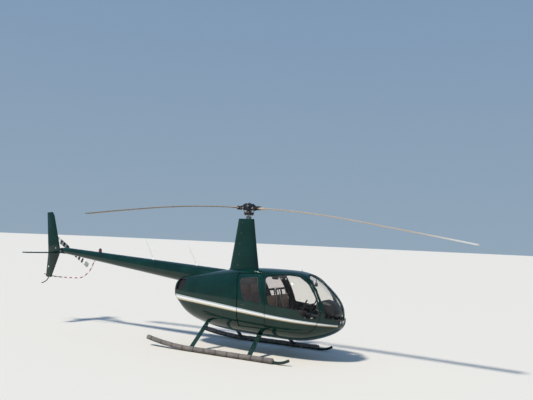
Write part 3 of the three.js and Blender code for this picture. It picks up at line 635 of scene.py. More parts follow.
def pod_side(x, z, inset=0.0):
    """A point on the pod's right side at that x and height."""
    rings = pod_rings(inset)
    for first, last in zip(rings, rings[1:]):
        if last[0] <= x <= first[0]:
            t = (first[0] - x) / (first[0] - last[0])
            _, middle, half, above, below = [a + (b - a) * t for a, b in zip(first, last)]
            power = ROUNDNESS["above" if z >= middle else "below"]
            rise = above if z >= middle else below
            up = min(abs(z - middle) / rise, 1.0) ** (1 / power)
            return Vector((x, -half * math.sqrt(1 - up * up) ** power, z))
    return None


def rounded(outline, extra=0.0):
    """The outline's corners turned into arcs; extra is added to each corner's radius."""
    points = []
    for i, (x, z, radius) in enumerate(outline):
        corner = Vector((x, z))
        before = Vector(outline[i - 1][:2]) - corner
        after = Vector(outline[(i + 1) % len(outline)][:2]) - corner
        turn = math.pi - before.angle(after)
        reach = (radius + extra) * math.tan(turn / 2)
        reach = min(reach, before.length * 0.49, after.length * 0.49)
        first = corner + before.normalized() * reach
        last = corner + after.normalized() * reach
        steps = max(2, math.ceil(math.degrees(turn) / 9))
        for step in range(steps + 1):
            t = step / steps
            spot = first * (1 - t) ** 2 + corner * 2 * t * (1 - t) + last * t ** 2
            points.append((spot.x, spot.y))
    return points


def grow(outline, distance):
    """The outline with every edge moved outwards, or inwards if the distance is negative."""
    area = sum(a[0] * b[1] - b[0] * a[1] for a, b in zip(outline, outline[1:] + outline[:1]))
    moved = []
    for i, point in enumerate(outline):
        here = Vector(point)
        before = (here - Vector(outline[i - 1])).normalized()
        after = (Vector(outline[(i + 1) % len(outline)]) - here).normalized()
        out = Vector((before.y + after.y, -before.x - after.x)).normalized()
        reach = math.copysign(distance, distance * area) / max(out.dot(Vector((before.y, -before.x))), 0.3)
        moved.append(tuple(here + out * reach))
    return moved


def beside(outline, distance):
    """The outline moved outwards by a distance along the pod's skin, which slopes away near the roof."""
    moved = []
    for (x, z), (far_x, far_z) in zip(outline, grow(outline, distance)):
        here, there = pod_side(x, z), pod_side(far_x, far_z)
        flat = math.hypot(far_x - x, far_z - z)
        share = flat / (there - here).length if here and there else 1.0
        moved.append((x + (far_x - x) * share, z + (far_z - z) * share))
    return moved


def is_inside(outline, x, z):
    odd = False
    for (x0, z0), (x1, z1) in zip(outline, outline[1:] + outline[:1]):
        if (z0 > z) != (z1 > z) and x < (x1 - x0) * (z - z0) / (z1 - z0) + x0:
            odd = not odd
    return odd


def span(face):
    xs = [vertex.co.x for vertex in face.verts]
    zs = [vertex.co.z for vertex in face.verts]
    return min(xs), max(xs), min(zs), max(zs)


def score(mesh, outline):
    """Cuts the faces along an outline that runs straight across the helicopter."""
    spans = {face: span(face) for face in mesh.faces}
    for start, end in zip(outline, outline[1:] + outline[:1]):
        low_x, high_x = sorted((start[0], end[0]))
        low_z, high_z = sorted((start[1], end[1]))
        near = [
            face for face, (x0, x1, z0, z1) in spans.items()
            if x0 < high_x and x1 > low_x and z0 < high_z and z1 > low_z
        ]
        if not near:
            continue
        edges = {edge for face in near for edge in face.edges}
        corners = {vertex for face in near for vertex in face.verts}
        plane = {"plane_co": (start[0], 0, start[1]), "plane_no": (end[1] - start[1], 0, start[0] - end[0])}
        result = bmesh.ops.bisect_plane(mesh, geom=[*near, *edges, *corners], dist=1e-5, **plane)
        for face in near:
            spans.pop(face)
        for item in result["geom"]:
            if isinstance(item, bmesh.types.BMFace):
                spans[item] = span(item)


def halve(mesh, y, keep_below):
    """Cuts the mesh at a place across the helicopter and keeps what lies on one side."""
    everything = [*mesh.faces, *mesh.edges, *mesh.verts]
    bmesh.ops.bisect_plane(mesh, geom=everything, dist=1e-5, plane_co=(0, y, 0), plane_no=(0, 1, 0))
    gone = [face for face in mesh.faces if (face.calc_center_median().y > y) == keep_below]
    bmesh.ops.delete(mesh, geom=gone, context="FACES")


def thicken(mesh, thickness):
    """Gives a skin its thickness inwards; the inner faces get material 1, and the rim stays 0."""
    outer = set(mesh.faces)
    bmesh.ops.solidify(mesh, geom=list(mesh.faces), thickness=thickness)
    mesh.normal_update()
    for face in mesh.faces:
        if face not in outer:
            middle = face.calc_center_median()
            inward = Vector((0, -middle.y, 0.95 - middle.z)).normalized()
            face.material_index = 1 if face.normal.dot(inward) > 0.35 else 0


def skin(outline, holes=(), inset=0.0, thickness=SKIN, right_of=None, left_of=None):
    """A panel of the pod's surface inside an outline and outside the holes."""
    mesh = loft(pod_rings(inset), POD_SIDES, pod_corner)
    ends = [face for face in mesh.faces if len(face.verts) > 4]
    bmesh.ops.delete(mesh, geom=ends, context="FACES")
    low_x, high_x = min(x for x, z in outline), max(x for x, z in outline)
    low_z, high_z = min(z for x, z in outline), max(z for x, z in outline)
    far = []
    for face in mesh.faces:
        x0, x1, z0, z1 = span(face)
        if x1 < low_x or x0 > high_x or z1 < low_z or z0 > high_z:
            far.append(face)
    bmesh.ops.delete(mesh, geom=far, context="FACES")
    if right_of is not None:
        halve(mesh, right_of, True)
    if left_of is not None:
        halve(mesh, left_of, False)
    for loop in (outline, *holes):
        score(mesh, loop)
    gone = []
    for face in mesh.faces:
        middle = face.calc_center_median()
        kept = is_inside(outline, middle.x, middle.z)
        if not kept or any(is_inside(hole, middle.x, middle.z) for hole in holes):
            gone.append(face)
    bmesh.ops.delete(mesh, geom=gone, context="FACES")
    bmesh.ops.dissolve_degenerate(mesh, dist=1e-5, edges=mesh.edges)
    if thickness:
        thicken(mesh, thickness)
    return mesh


def even_shading(made):
    """Shades a cut panel by the size of its faces, so that its cuts don't show."""
    weighted = made.modifiers.new("shading", "WEIGHTED_NORMAL")
    weighted.keep_sharp = True
    return made


DOOR_HOLES = [beside(rounded(outline), DOOR_GAP) for outline in (FRONT_DOOR, REAR_DOOR)]
LINER = worn("grey_liner", (0.10, 0.095, 0.085), 0.85, 0.0, 150.0, 0.2, 0.0006)
LOWER = [
    (CABIN_REAR, 0.300), (2.450, 0.300), *[(x, z - 0.0005) for x, z in NOSE_LINE[::-1]],
    (ROOF_FRONT, 0.904), (ROOF_FRONT, 0.590), (CABIN_REAR, 0.590),
]
LENS = [(2.334, 0.768), (2.334, 0.860), (2.400, 0.860), (2.400, 0.768)]
belly = Piece("belly_and_nose")
belly.add(skin(LOWER, [*DOOR_HOLES, LENS]), PAINT, LINER)
even_shading(belly.done("airframe", ["lower_fuselage"], "body_paint"))


# Windshield. Two blown acrylic panes stand in a painted frame with a centre post, sealed by a thin dark
# strip.
WINDSHIELD = [
    (1.575, 1.900), (1.575, 1.748), (1.735, 1.628), (1.900, 1.462), (2.000, 1.290), (2.075, 1.140),
    (2.112, 0.990), *NOSE_LINE, (2.450, 1.900),
]
POST_HALF = 0.014
GLASS_SHEET = {"inset": 0.003, "thickness": 0.004}
SEAL_WIDTH = 0.012


def glass(name, tint, haze, strength=0.7):
    """Clear plastic: mostly see-through, with a sharp reflection that grows towards its edges."""
    made = Finish(name)
    tree = made.tree
    smear = made.noise(5.0, 4.0, 0.6)
    facing = made.node("ShaderNodeLayerWeight", {}, {"Blend": 0.5}, "Facing")
    rim = facing.math("POWER", 3.2) * strength
    share = rim + made.between(smear, 0.35, 0.8, haze * 0.6, haze)
    made.set({"Base Color": made.blend(smear, (0.30, 0.32, 0.33), (0.50, 0.52, 0.53)), "Roughness": 0.03})
    clear = tree.nodes.new("ShaderNodeBsdfTransparent")
    clear.inputs["Color"].default_value = (*tint, 1.0)
    mix = tree.nodes.new("ShaderNodeMixShader")
    plug(tree, mix.inputs[0], share)
    tree.links.new(clear.outputs[0], mix.inputs[1])
    tree.links.new(made.shader.outputs[0], mix.inputs[2])
    tree.links.new(mix.outputs[0], tree.nodes["Material Output"].inputs["Surface"])
    made.shader.inputs["Metallic"].default_value = 0.0
    return made


CLEAR = glass("clear_acrylic", (0.96, 0.955, 0.94), 0.02)
SEAL = worn("dark_seal", (0.012, 0.016, 0.016), 0.5, 0.0, 160.0, 0.3, 0.0003)
BOW = [(ROOF_FRONT + 0.0005, 1.900), *WINDSHIELD[:8], (ROOF_FRONT + 0.0005, 0.905)]
frame_piece = Piece("windshield_bow_and_post")
frame_piece.add(skin(BOW, DOOR_HOLES), PAINT, LINER)
post_outline = [(1.560, 1.900), *WINDSHIELD[1:]]
frame_piece.add(skin(post_outline, right_of=POST_HALF, left_of=-POST_HALF), PAINT, LINER)
even_shading(frame_piece.done("airframe", ["windshield_frame"], "body_paint"))
for name, left in HANDS:
    pane = Piece(f"{name}_windshield_pane", left)
    fitted = grow(WINDSHIELD, -0.0005)
    pane.add(skin(fitted, **GLASS_SHEET, right_of=-POST_HALF - 0.0005), CLEAR, CLEAR)
    even_shading(pane.done("airframe", [f"windshield_{name}"], "glazing"))
    seal = Piece(f"{name}_windshield_seal", left)
    edge_in = grow(WINDSHIELD, -SEAL_WIDTH)
    seal.add(skin(WINDSHIELD, [edge_in], 0.0006, 0.003, right_of=-POST_HALF), SEAL, SEAL)
    inner = skin(edge_in, inset=0.0006, thickness=None, right_of=-POST_HALF)
    halve(inner, -POST_HALF - SEAL_WIDTH, False)
    thicken(inner, 0.003)
    seal.add(inner, SEAL, SEAL)
    even_shading(seal.done("airframe"))


# Landing lamps. Two sealed lamps look forward and down from a dark recess in the nose, behind a clear cover
# in a thin pale rim.
LAMP_Z = 0.815
LAMP_Y = -0.062
LENS_RIM = 0.005
# distance ahead of the reflector's rim, radius
LAMP_SHELL = (
    (-0.041, 0.002), (-0.041, 0.018), (-0.002, 0.0355), (0.001, 0.0355), (0.001, 0.0335),
    (-0.006, 0.0300), (-0.013, 0.0215), (-0.018, 0.0100), (-0.019, 0.0020),
)
REFLECTOR = worn("bright_reflector", (0.75, 0.76, 0.76), 0.12, 1.0, 160.0, 0.1, 0.0001)
# Pale grey for the lamp cover's rim; on the console hood the same grey draws painted highlight lines.
PALE_RIM_AND_PAINTED_HIGHLIGHT = worn("pale_rim_and_painted_highlight", (0.40, 0.41, 0.39), 0.4, 0.3, 140.0, 0.2, 0.0002)
lamps = Piece("landing_lamps")
rim_outline = grow(LENS, -LENS_RIM)
lamps.add(skin(LENS, [rim_outline], -0.0008, 0.004), PALE_RIM_AND_PAINTED_HIGHLIGHT, SEAL)
lamps.add(skin(grow(LENS, -0.0008), inset=0.0015, thickness=0.003), CLEAR, CLEAR)
lamps.add(block((2.290, 2.300), (-0.150, 0.150), (0.768, 0.860), 0.002), SEAL)
for side in (-1, 1):
    front = Vector((2.345, side * LAMP_Y, LAMP_Z))

    def lamp_corner(ring, angle):
        ahead, radius = ring
        return front + Vector((ahead, radius * math.cos(angle), radius * math.sin(angle) - ahead * 0.15))

    lamps.add(loft(LAMP_SHELL, 36, lamp_corner), REFLECTOR)
    bulb = front - Vector((0.020, 0, 0))
    lamps.add(rod(bulb, bulb + Vector((0.012, 0, 0)), 0.006, 0.004, 16, 0.001), STEEL)
even_shading(lamps.done("airframe"))


# Roof, door posts and door openings. The roof skin is riveted between the door openings, and behind each
# opening's gap stands a black rubber seal on the frame.
ROOF = [(0.0565, 1.691), (ROOF_FRONT, 1.691), (ROOF_FRONT, 1.900), (0.0565, 1.900)]
POST = [(0.560, 0.591), (0.960, 0.591), (0.960, 1.690), (0.560, 1.690)]
JAMB_DEPTH = 0.024
REBATE = 0.0045
roof = Piece("roof_skin")
roof.add(skin(ROOF, DOOR_HOLES), PAINT, LINER)
even_shading(roof.done("airframe", ["roof"], "body_paint"))
for name, left in HANDS:
    post = Piece(f"{name}_door_post_skin", left)
    post.add(skin(POST, DOOR_HOLES, right_of=-0.00025), PAINT, LINER)
    even_shading(post.done("airframe", [f"door_post_{name}"], "body_paint"))
    jamb = Piece(f"{name}_door_seals", left)
    for outline in (FRONT_DOOR, REAR_DOOR):
        opening = rounded(outline)
        wide, narrow = grow(opening, DOOR_GAP + 0.010), grow(opening, -0.012)
        jamb.add(skin(wide, [narrow], JAMB_DEPTH + 0.004, 0.010, right_of=-0.16), RUBBER, RUBBER)
        rebate = [beside(opening, DOOR_GAP - 0.0005), beside(opening, DOOR_GAP - REBATE)]
        jamb.add(skin(rebate[0], rebate[1:], 0.0025, 0.012, right_of=-0.16), PAINT, PAINT)
    even_shading(jamb.done("airframe"))


# Mast deck and engine cowls. The deck under the mast fairing and the two side cowls are painted sheet, with
# quick-turn fasteners, a louvred black grille near the tail on each side, and openings in the belly and
# tail.
COWL_TOP = [(CABIN_REAR, 1.590), (0.056, 1.700)]
DECK = [*COWL_TOP, (0.056, 1.900), (CABIN_REAR, 1.900)]
VENT = ((-1.645, 1.458, 0.02), (-1.345, 1.475, 0.03), (-1.390, 1.240, 0.03), (-1.665, 1.195, 0.02))
COWL = [
    (-1.800, 0.300), (CABIN_REAR - 0.0005, 0.300), (CABIN_REAR - 0.0005, 0.5905), (0.190, 0.5905),
    (0.190, 1.180), (0.150, 1.360), (0.0555, 1.6994), (CABIN_REAR - 0.0005, 1.5894),
    (CABIN_REAR - 0.0005, 1.900), (-1.800, 1.900),
]
BELLY_HOLE_Y = -0.170
BELLY_HOLE = [(-1.180, 0.300), (-0.780, 0.300), (-0.780, 0.750), (-1.180, 0.750)]
TAIL_HOLE = {"radius": 0.150, "height": 1.215}
deck = Piece("mast_deck_skin")
deck.add(skin(DECK), PAINT, LINER)
even_shading(deck.done("airframe", ["mast_deck"], "body_paint"))
for name, left in HANDS:
    cowl = Piece(f"{name}_engine_cowl", left)
    cowl.add(skin(COWL, [*DOOR_HOLES, rounded(VENT), BELLY_HOLE], right_of=-0.00025), PAINT, LINER)
    strip = skin(BELLY_HOLE, thickness=None, right_of=BELLY_HOLE_Y)
    thicken(strip, SKIN)
    cowl.add(strip, PAINT, LINER)
    rear_end = pod_rings(0.0)[-1]

    def tail_corner(ring, angle):
        if ring == "edge":
            return pod_corner(rear_end, angle)
        x, radius = ring
        return Vector((x, radius * math.cos(angle), TAIL_HOLE["height"] + radius * math.sin(angle)))

    plate_rings = ["edge", (-1.704, 0.21), (-1.702, TAIL_HOLE["radius"]), (-1.60, 0.14)]
    plate = loft(plate_rings, 64, tail_corner, False)
    halve(plate, -0.00025, True)
    cowl.add(plate, PAINT, PAINT)
    even_shading(cowl.done("airframe", [f"side_cowl_{name}"], "body_paint"))


# Vent grilles. On each side, under the boom, a black grille of pressed louvres lets the cooling air out.
LOUVRE_PITCH = 0.044
LOUVRE_FIRST = 1.222
GRILLE_BLACK = worn("grille_black", (0.012, 0.013, 0.015), 0.45, 0.2, 120.0, 0.4, 0.0004)


for name, left in HANDS:
    grille = Piece(f"{name}_vent_grille", left)
    rim_out, rim_in = grow(rounded(VENT), -0.0008), grow(rounded(VENT), -0.016)
    grille.add(skin(rim_out, [rim_in], right_of=-0.00025), GRILLE_BLACK, GRILLE_BLACK)
    z = LOUVRE_FIRST
    while z < 1.46:
        rear_x = -1.648 + (1.458 - z) * -0.06 + 0.004
        front_x = -1.393 + (z - 1.240) * 0.19
        route = []
        for i in range(7):
            place_x = rear_x + (front_x - rear_x) * i / 6
            here = pod_side(place_x, z, 0.010)
            route.append(here)
        slat = pipe(route, 0.003, 8, 0.016)
        bmesh.ops.translate(slat, vec=(0, 0.002, 0), verts=slat.verts)
        grille.add(slat, GRILLE_BLACK)
        z += LOUVRE_PITCH / 2
    even_shading(grille.done("airframe", [f"vent_louvre_{name}"], "black_trim"))


# Engine and exhaust. Through the openings show a flat six-cylinder engine, kept to a plain block with its
# cylinder banks finned, the round fan scroll behind it, and a muffler with one tail pipe.
ENGINE_GREY = worn("cast_grey", (0.10, 0.10, 0.105), 0.55, 0.6, 90.0, 0.3, 0.0008)
SCORCHED = worn("scorched_steel", (0.25, 0.21, 0.18), 0.5, 0.9, 30.0, 0.45, 0.0006)
engine = Piece("engine_and_fan")
engine.add(block((-1.128, -0.040), (-0.165, 0.165), (0.735, 1.225), 0.02), ENGINE_GREY)
for cylinder_x in (-0.95, -0.62, -0.29):
    for side in (-1, 1):
        for fin in range(6):
            middle = side * (0.180 + fin * 0.016)
            barrel = [(cylinder_x, middle - 0.004, 0.98), (cylinder_x, middle + 0.004, 0.98)]
            engine.add(rod(*barrel, 0.098, sides=24), ENGINE_GREY)
        across = sorted((side * 0.165, side * 0.268))
        engine.add(block((cylinder_x - 0.06, cylinder_x + 0.06), across, (0.92, 1.04), 0.012), ENGINE_GREY)
scroll = [(-1.468, 0.165), (-1.460, 0.185), (-1.300, 0.185), (-1.150, 0.180), (-1.130, 0.120)]
engine.add(turned(scroll, (0, 0, 1.09), 48), ENGINE_GREY)
engine.done("airframe", ["engine_block"], "dark_metal")
exhaust = Piece("muffler_and_tail_pipe")
exhaust.add(rod((-0.95, -0.210, 0.672), (-0.95, 0.150, 0.672), 0.048, sides=32, bevel=0.012), SCORCHED)
bend = [Vector((-0.95, 0.110, 0.672)), Vector((-0.95, 0.110, 0.60)), Vector((-0.95, 0.110, 0.522))]
exhaust.add(pipe(bend, 0.027, 24), SCORCHED)
exhaust.add(rod((-0.95, 0.110, 0.5215), (-0.95, 0.110, 0.540), 0.023, sides=24), GRILLE_BLACK)
exhaust.add(rod((-0.95, -0.09, 0.66), (-0.95, -0.09, 0.729), 0.027, sides=24), SCORCHED)
exhaust.done("airframe", ["exhaust"], "bare_metal")


# Doors. Each is a painted glass-fibre shell lined inside, with a blown window in a dark strip, a flush
# latch handle with a keyed lock, an inside armrest, and two dark strap hinges at its front edge.
FRONT_WINDOW = (
    (0.765, 1.640, 0.05), (0.800, 1.672, 0.06), (1.050, 1.712, 0.60), (1.270, 1.730, 0.60),
    (1.500, 1.712, 0.25), (1.688, 1.608, 0.60), (1.752, 1.556, 0.60), (1.884, 1.392, 0.60),
    (1.958, 1.262, 0.60), (2.020, 1.045, 0.30), (2.003, 0.930, 0.12), (1.940, 0.882, 0.08),
    (1.740, 0.882, 0.08),
    (1.690, 0.925, 0.20), (1.630, 1.020, 0.10), (1.560, 1.040, 0.20), (0.960, 1.095, 0.05),
    (0.935, 1.120, 0.05),
)
REAR_WINDOW = (
    (0.160, 1.560, 0.06), (0.185, 1.600, 0.06), (0.540, 1.643, 0.06), (0.590, 1.620, 0.06),
    (0.775, 1.160, 0.05), (0.755, 1.122, 0.04), (0.350, 1.138, 0.10), (0.315, 1.170, 0.06),
)
REAR_EDGE = {"rebate": 0.026, "lip": 0.008}
DOOR_REACH = 0.150
DOORS = (
    # name, outline, window, handle at x and height, hinge heights, how far the hinged edge is cut back
    ("front", FRONT_DOOR, FRONT_WINDOW, (1.000, 1.040), (0.740, 1.450), 0.0050),
    ("rear", REAR_DOOR, REAR_WINDOW, (0.330, 1.045), (0.720, 1.560), 0.0025),
)
TINTED = glass("tinted_acrylic", (0.88, 0.85, 0.86), 0.05)
TRIM = worn("pale_door_trim", (0.52, 0.46, 0.38), 0.85, 0.0, 150.0, 0.15, 0.0006)
CHROME = worn("bright_metal", (0.62, 0.62, 0.60), 0.18, 1.0, 90.0, 0.1, 0.0001)


def shape(outline, y, bevel=0.0):
    """A plate with a side outline, from one place across the helicopter to another."""
    mesh = bmesh.new()
    bmesh.ops.create_circle(mesh, cap_ends=True, segments=len(outline), radius=1)
    for vertex, (x, z) in zip(list(mesh.verts), outline):
        vertex.co = (x, y[0], z)
    moved = bmesh.ops.extrude_face_region(mesh, geom=list(mesh.faces))
    corners = [item for item in moved["geom"] if isinstance(item, bmesh.types.BMVert)]
    bmesh.ops.translate(mesh, vec=(0, y[1] - y[0], 0), verts=corners)
    bmesh.ops.recalc_face_normals(mesh, faces=mesh.faces)
    return bevelled(mesh, bevel) if bevel else mesh


for name, left in HANDS:
    for door_name, outline, window, handle, hinges, cut_back in DOORS:
        body = f"{door_name}_door_{name}_body"
        door = Piece(f"{name}_{door_name}_door_shell", left)
        outer = rounded(outline)
        front_part = max(x for x, z in outer) - 0.40
        outer = [(x - cut_back if x > front_part else x, z) for x, z in outer]
        opening = rounded(window)
        if door_name == "rear":
            lipped = [(x + (REAR_EDGE["rebate"] + 0.001 if x < 0.3 else 0.0), z) for x, z in outer]
            lip = REAR_EDGE["lip"]
            door.add(skin(outer, [opening], 0.0, lip - 0.001, right_of=-DOOR_REACH), PAINT, PAINT)
            inner = skin(lipped, [opening], lip, SKIN - lip, right_of=-DOOR_REACH)
            door.add(inner, PAINT, TRIM)
        else:
            door.add(skin(outer, [opening], right_of=-DOOR_REACH), PAINT, TRIM)
        even_shading(door.done(body, [f"{door_name}_door_{name}"], "body_paint"))
        pane = Piece(f"{name}_{door_name}_door_window", left)
        look = TINTED if door_name == "rear" else CLEAR
        fitted = grow(opening, -0.0008)
        pane.add(skin(fitted, **GLASS_SHEET, right_of=-0.1), look, look)
        even_shading(pane.done(body, [f"{door_name}_window_{name}"], "glazing"))
        strip = Piece(f"{name}_{door_name}_window_strip", left)
        strip.add(skin(opening, [grow(opening, -0.011)], 0.0004, 0.003, right_of=-0.1), SEAL, SEAL)
        even_shading(strip.done(body))
        fittings = Piece(f"{name}_{door_name}_door_fittings", left)
        at = pod_side(handle[0], handle[1])
        corners = ((-1, -1), (1, -1), (1, 1), (-1, 1))
        cup = [(handle[0] + dx * 0.062, handle[1] + dz * 0.020) for dx, dz in corners]
        fittings.add(shape(cup, (at.y - 0.0015, at.y + 0.004), 0.001), RUBBER)
        lever = [at + Vector((dx, -0.003, 0.002)) for dx in (-0.045, 0.0, 0.045)]
        fittings.add(pipe(lever, 0.006, 12, 0.003), CHROME)
        lock = pod_side(handle[0] + 0.10, handle[1] - 0.005)
        fittings.add(rod(lock, lock + Vector((0, -0.003, 0)), 0.009, sides=20, bevel=0.001), CHROME)
        for hinge_z in hinges:
            crossings = [
                x0 + (x1 - x0) * (hinge_z - z0) / (z1 - z0)
                for (x0, z0), (x1, z1) in zip(outer, outer[1:] + outer[:1])
                if (z0 > hinge_z) != (z1 > hinge_z)
            ]
            edge_x = max(crossings) - 0.03
            knuckle = pod_side(edge_x, hinge_z)
            up = Vector((0, 0, 0.035))
            fittings.add(rod(knuckle - up, knuckle + up, 0.006, sides=12, bevel=0.001), GRILLE_BLACK)
        rest = pod_side(outer[0][0] + 0.45, 0.98, SKIN)
        armrest = ((rest.x - 0.14, rest.x + 0.14), (rest.y + 0.001, rest.y + 0.028), (0.965, 0.995))
        fittings.add(block(*armrest, 0.008), LINER)
        fittings.done(body)


# Mast fairing. A tall painted glass-fibre fairing, round in front and thin behind, stands over the mast on
# the deck and roof; a row of bright screw heads runs down each side, and the mast tube comes out of its open
# top.
# height, front, rear, half width
FAIRING = ((1.600, 0.342, -0.462, 0.158), (2.250, 0.238, -0.358, 0.125), (2.905, 0.140, -0.260, 0.092))
FAIRING_WALL = 0.006


def fairing_corner(ring, angle):
    height, shrink = ring
    t = (height - FAIRING[0][0]) / (FAIRING[1][0] - FAIRING[0][0])
    first, last = (FAIRING[0], FAIRING[1]) if t <= 1 else (FAIRING[1], FAIRING[2])
    t = t if t <= 1 else (height - first[0]) / (last[0] - first[0])
    _, front, rear, half = [a + (b - a) * t for a, b in zip(first, last)]
    ahead, side = math.cos(angle), math.sin(angle)
    wide = (half - shrink) * side * (0.78 + 0.22 * ahead)
    reach = (front - rear - 2 * shrink) * (1 + ahead) / 2
    return Vector((rear + shrink + reach, wide, height))


def on_fairing(height, angle, out):
    """A point near the fairing's surface, so far outside it."""
    return fairing_corner((height, -out), angle)


fairing = Piece("mast_fairing_shell")
rings = [(1.700 + i * 0.0603, 0.0) for i in range(20)] + [(2.902, 0.0006), (2.905, 0.003)]
rings += [(height, FAIRING_WALL) for height in (2.905, 2.880, 2.60)]
fairing.add(loft(rings, 64, fairing_corner, False), PAINT)
for height in (1.86, 2.10, 2.34, 2.58, 2.82):
    for angle in (1.9, -1.9):
        centre = on_fairing(height, angle, 0.0)
        outward = (on_fairing(height, angle, 0.01) - centre).normalized()
        fairing.add(rod(centre - outward * 0.001, centre + outward * 0.0012, 0.007, 0.005, 16), CHROME)
fairing.done("airframe", ["mast_fairing"], "body_paint")
collar = Piece("fairing_foot_collar")


def collar_corner(ring, angle):
    out, drop = ring
    x, y, _ = fairing_corner((1.80, -out), angle)
    slope = 1.790 - 0.055 * max(-x, 0.0) ** 1.2 - 0.012 * (y / 0.15) ** 2
    return Vector((x, y, slope - drop))


collar.add(loft([(0.003, -0.012), (0.022, 0.012), (0.024, 0.03)], 64, collar_corner, False), PAINT)
collar.done("airframe")
mast_tube = Piece("mast_tube_and_guide")
mast_tube.add(rod((0, 0, 2.80), (0, 0, 2.960), 0.058, sides=40, bevel=0.003), ENGINE_GREY)
mast_tube.add(rod((0, 0, 2.915), (0, 0, 2.930), 0.0602, sides=40, bevel=0.002), STEEL)
for side in (-1, 1):
    mast_tube.add(rod((0.03, side * 0.055, 2.85), (0.03, side * 0.055, 2.958), 0.005, sides=12), STEEL)
mast_tube.done("airframe", ["mast_tube"], "dark_metal")


# Rotor head. On the steel mast stand the swashplate with its scissors and pitch links, and the forked
# teetering hub, dark grey, held by one teeter bolt and two coning bolts; each blade's grip carries a
# bearing and boot.
HUB_GREY = worn("hub_dark", (0.022, 0.025, 0.032), 0.38, 0.6, 110.0, 0.4, 0.0004)
BRONZE = worn("bearing_bronze", (0.42, 0.30, 0.16), 0.4, 0.9, 90.0, 0.25, 0.0003)
head_piece = Piece("rotor_head_and_controls")
head_piece.add(rod((0, 0, 2.966), (0, 0, 3.200), 0.034, sides=32, bevel=0.002), STEEL)
for low, high, radius, look in (
    (2.985, 3.000, 0.108, HUB_GREY), (3.000, 3.008, 0.094, STEEL), (3.008, 3.032, 0.1165, HUB_GREY),
    (3.032, 3.050, 0.088, HUB_GREY), (3.050, 3.064, 0.062, BRONZE), (3.064, 3.096, 0.058, RUBBER),
    (3.096, 3.112, 0.062, HUB_GREY), (3.205, 3.232, 0.056, HUB_GREY), (3.232, 3.256, 0.040, STEEL),
    (3.256, 3.2695, 0.024, HUB_GREY),
):
    head_piece.add(rod((0, 0, low), (0, 0, high), radius, sides=40, bevel=0.002), look)
for side in (-1, 1):
    fork = [
        (-0.184, 3.130), (-0.160, 3.194), (-0.080, 3.254), (0.080, 3.249), (0.160, 3.184),
        (0.184, 3.121), (0.130, 3.092), (0.060, 3.096), (-0.060, 3.098), (-0.130, 3.097),
    ]
    inner, outer = sorted((side * 0.041, side * 0.067))
    head_piece.add(shape(fork, (inner, outer), 0.006), HUB_GREY)
    for place_x, place_z in ((0.0, 3.195), (-0.125, 3.152), (0.125, 3.145)):
        bolt = [(place_x, side * 0.060, place_z), (place_x, side * 0.076, place_z)]
        head_piece.add(rod(*bolt, 0.024, sides=6, bevel=0.002), STEEL)
        tip = [(place_x, side * 0.074, place_z), (place_x, side * 0.086, place_z)]
        head_piece.add(rod(*tip, 0.012, sides=20, bevel=0.002), BRONZE)
for end, rise in ((-1, 0.000), (1, -0.006)):
    axis = [(end * 0.070, 0, 3.158 + rise), (end * 0.300, 0, 3.154 + rise * 2)]
    head_piece.add(rod(*axis, 0.034, sides=28, bevel=0.002), HUB_GREY)
    cross_block = (sorted((end * 0.020, end * 0.085)), (-0.038, 0.038), (3.200, 3.244))
    head_piece.add(block(*cross_block, 0.008), HUB_GREY)
    clevis = sorted((end * 0.238, end * 0.300))
    for low_y, high_y in ((-0.046, -0.018), (0.018, 0.046)):
        head_piece.add(block(clevis, (low_y, high_y), (3.112 + rise, 3.196 + rise), 0.006), HUB_GREY)
    pin = [(end * 0.268, -0.056, 3.154 + rise), (end * 0.268, 0.056, 3.154 + rise)]
    head_piece.add(rod(*pin, 0.014, sides=20, bevel=0.002), STEEL)
    boots = [(end * 0.170, 0.050), (end * 0.185, 0.043), (end * 0.200, 0.050), (end * 0.215, 0.043)]
    for boot_x, radius in boots:
        start = Vector((boot_x, 0, 3.156 + rise * 1.5))
        finish = start + Vector((end * 0.012, 0, 0))
        head_piece.add(rod(start, finish, radius, sides=32, bevel=0.004), RUBBER)
    horn = [(0.205, 0.040, 3.150), (0.175, 0.095, 3.154), (0.120, 0.126, 3.152)]
    horn = [(end * x, end * y, z) for x, y, z in horn]
    head_piece.add(pipe(horn, 0.018, 14, 0.014), HUB_GREY)
    foot = Vector((end * 0.095, end * 0.020, 3.040))
    top = Vector((end * 0.120, end * 0.118, 3.150))
    head_piece.add(rod(foot, top, 0.009, sides=14), CHROME)
    for share in (0.0, 1.0):
        ball = foot + (top - foot) * share
        reach = Vector((0, 0.012, 0))
        head_piece.add(rod(ball - reach, ball + reach, 0.016, sides=16, bevel=0.003), STEEL)
    for share in (0.2, 0.8):
        nut = foot + (top - foot) * share
        along = (top - foot).normalized() * 0.009
        head_piece.add(rod(nut - along, nut + along, 0.0125, sides=6, bevel=0.001), BRONZE)
    knee = Vector((end * -0.104, end * 0.060, 3.076))
    for root in ((end * -0.040, end * 0.060, 3.050), (end * -0.040, end * 0.050, 3.104)):
        head_piece.add(rod(root, knee, 0.010, 0.008, 16, 0.002), HUB_GREY)
    pin = Vector((0, 0.018, 0))
    head_piece.add(rod(knee - pin, knee + pin, 0.009, sides=16, bevel=0.002), STEEL)
    for turn in range(5):
        angle = end * (0.30 + 0.60 * turn)
        spot = Vector((0.102 * math.cos(angle), 0.102 * math.sin(angle), 3.030))
        head_piece.add(rod(spot, spot + Vector((0, 0, 0.007)), 0.006, sides=6), STEEL)
head_piece.done("main_rotor", ["rotor_head"], "dark_metal")
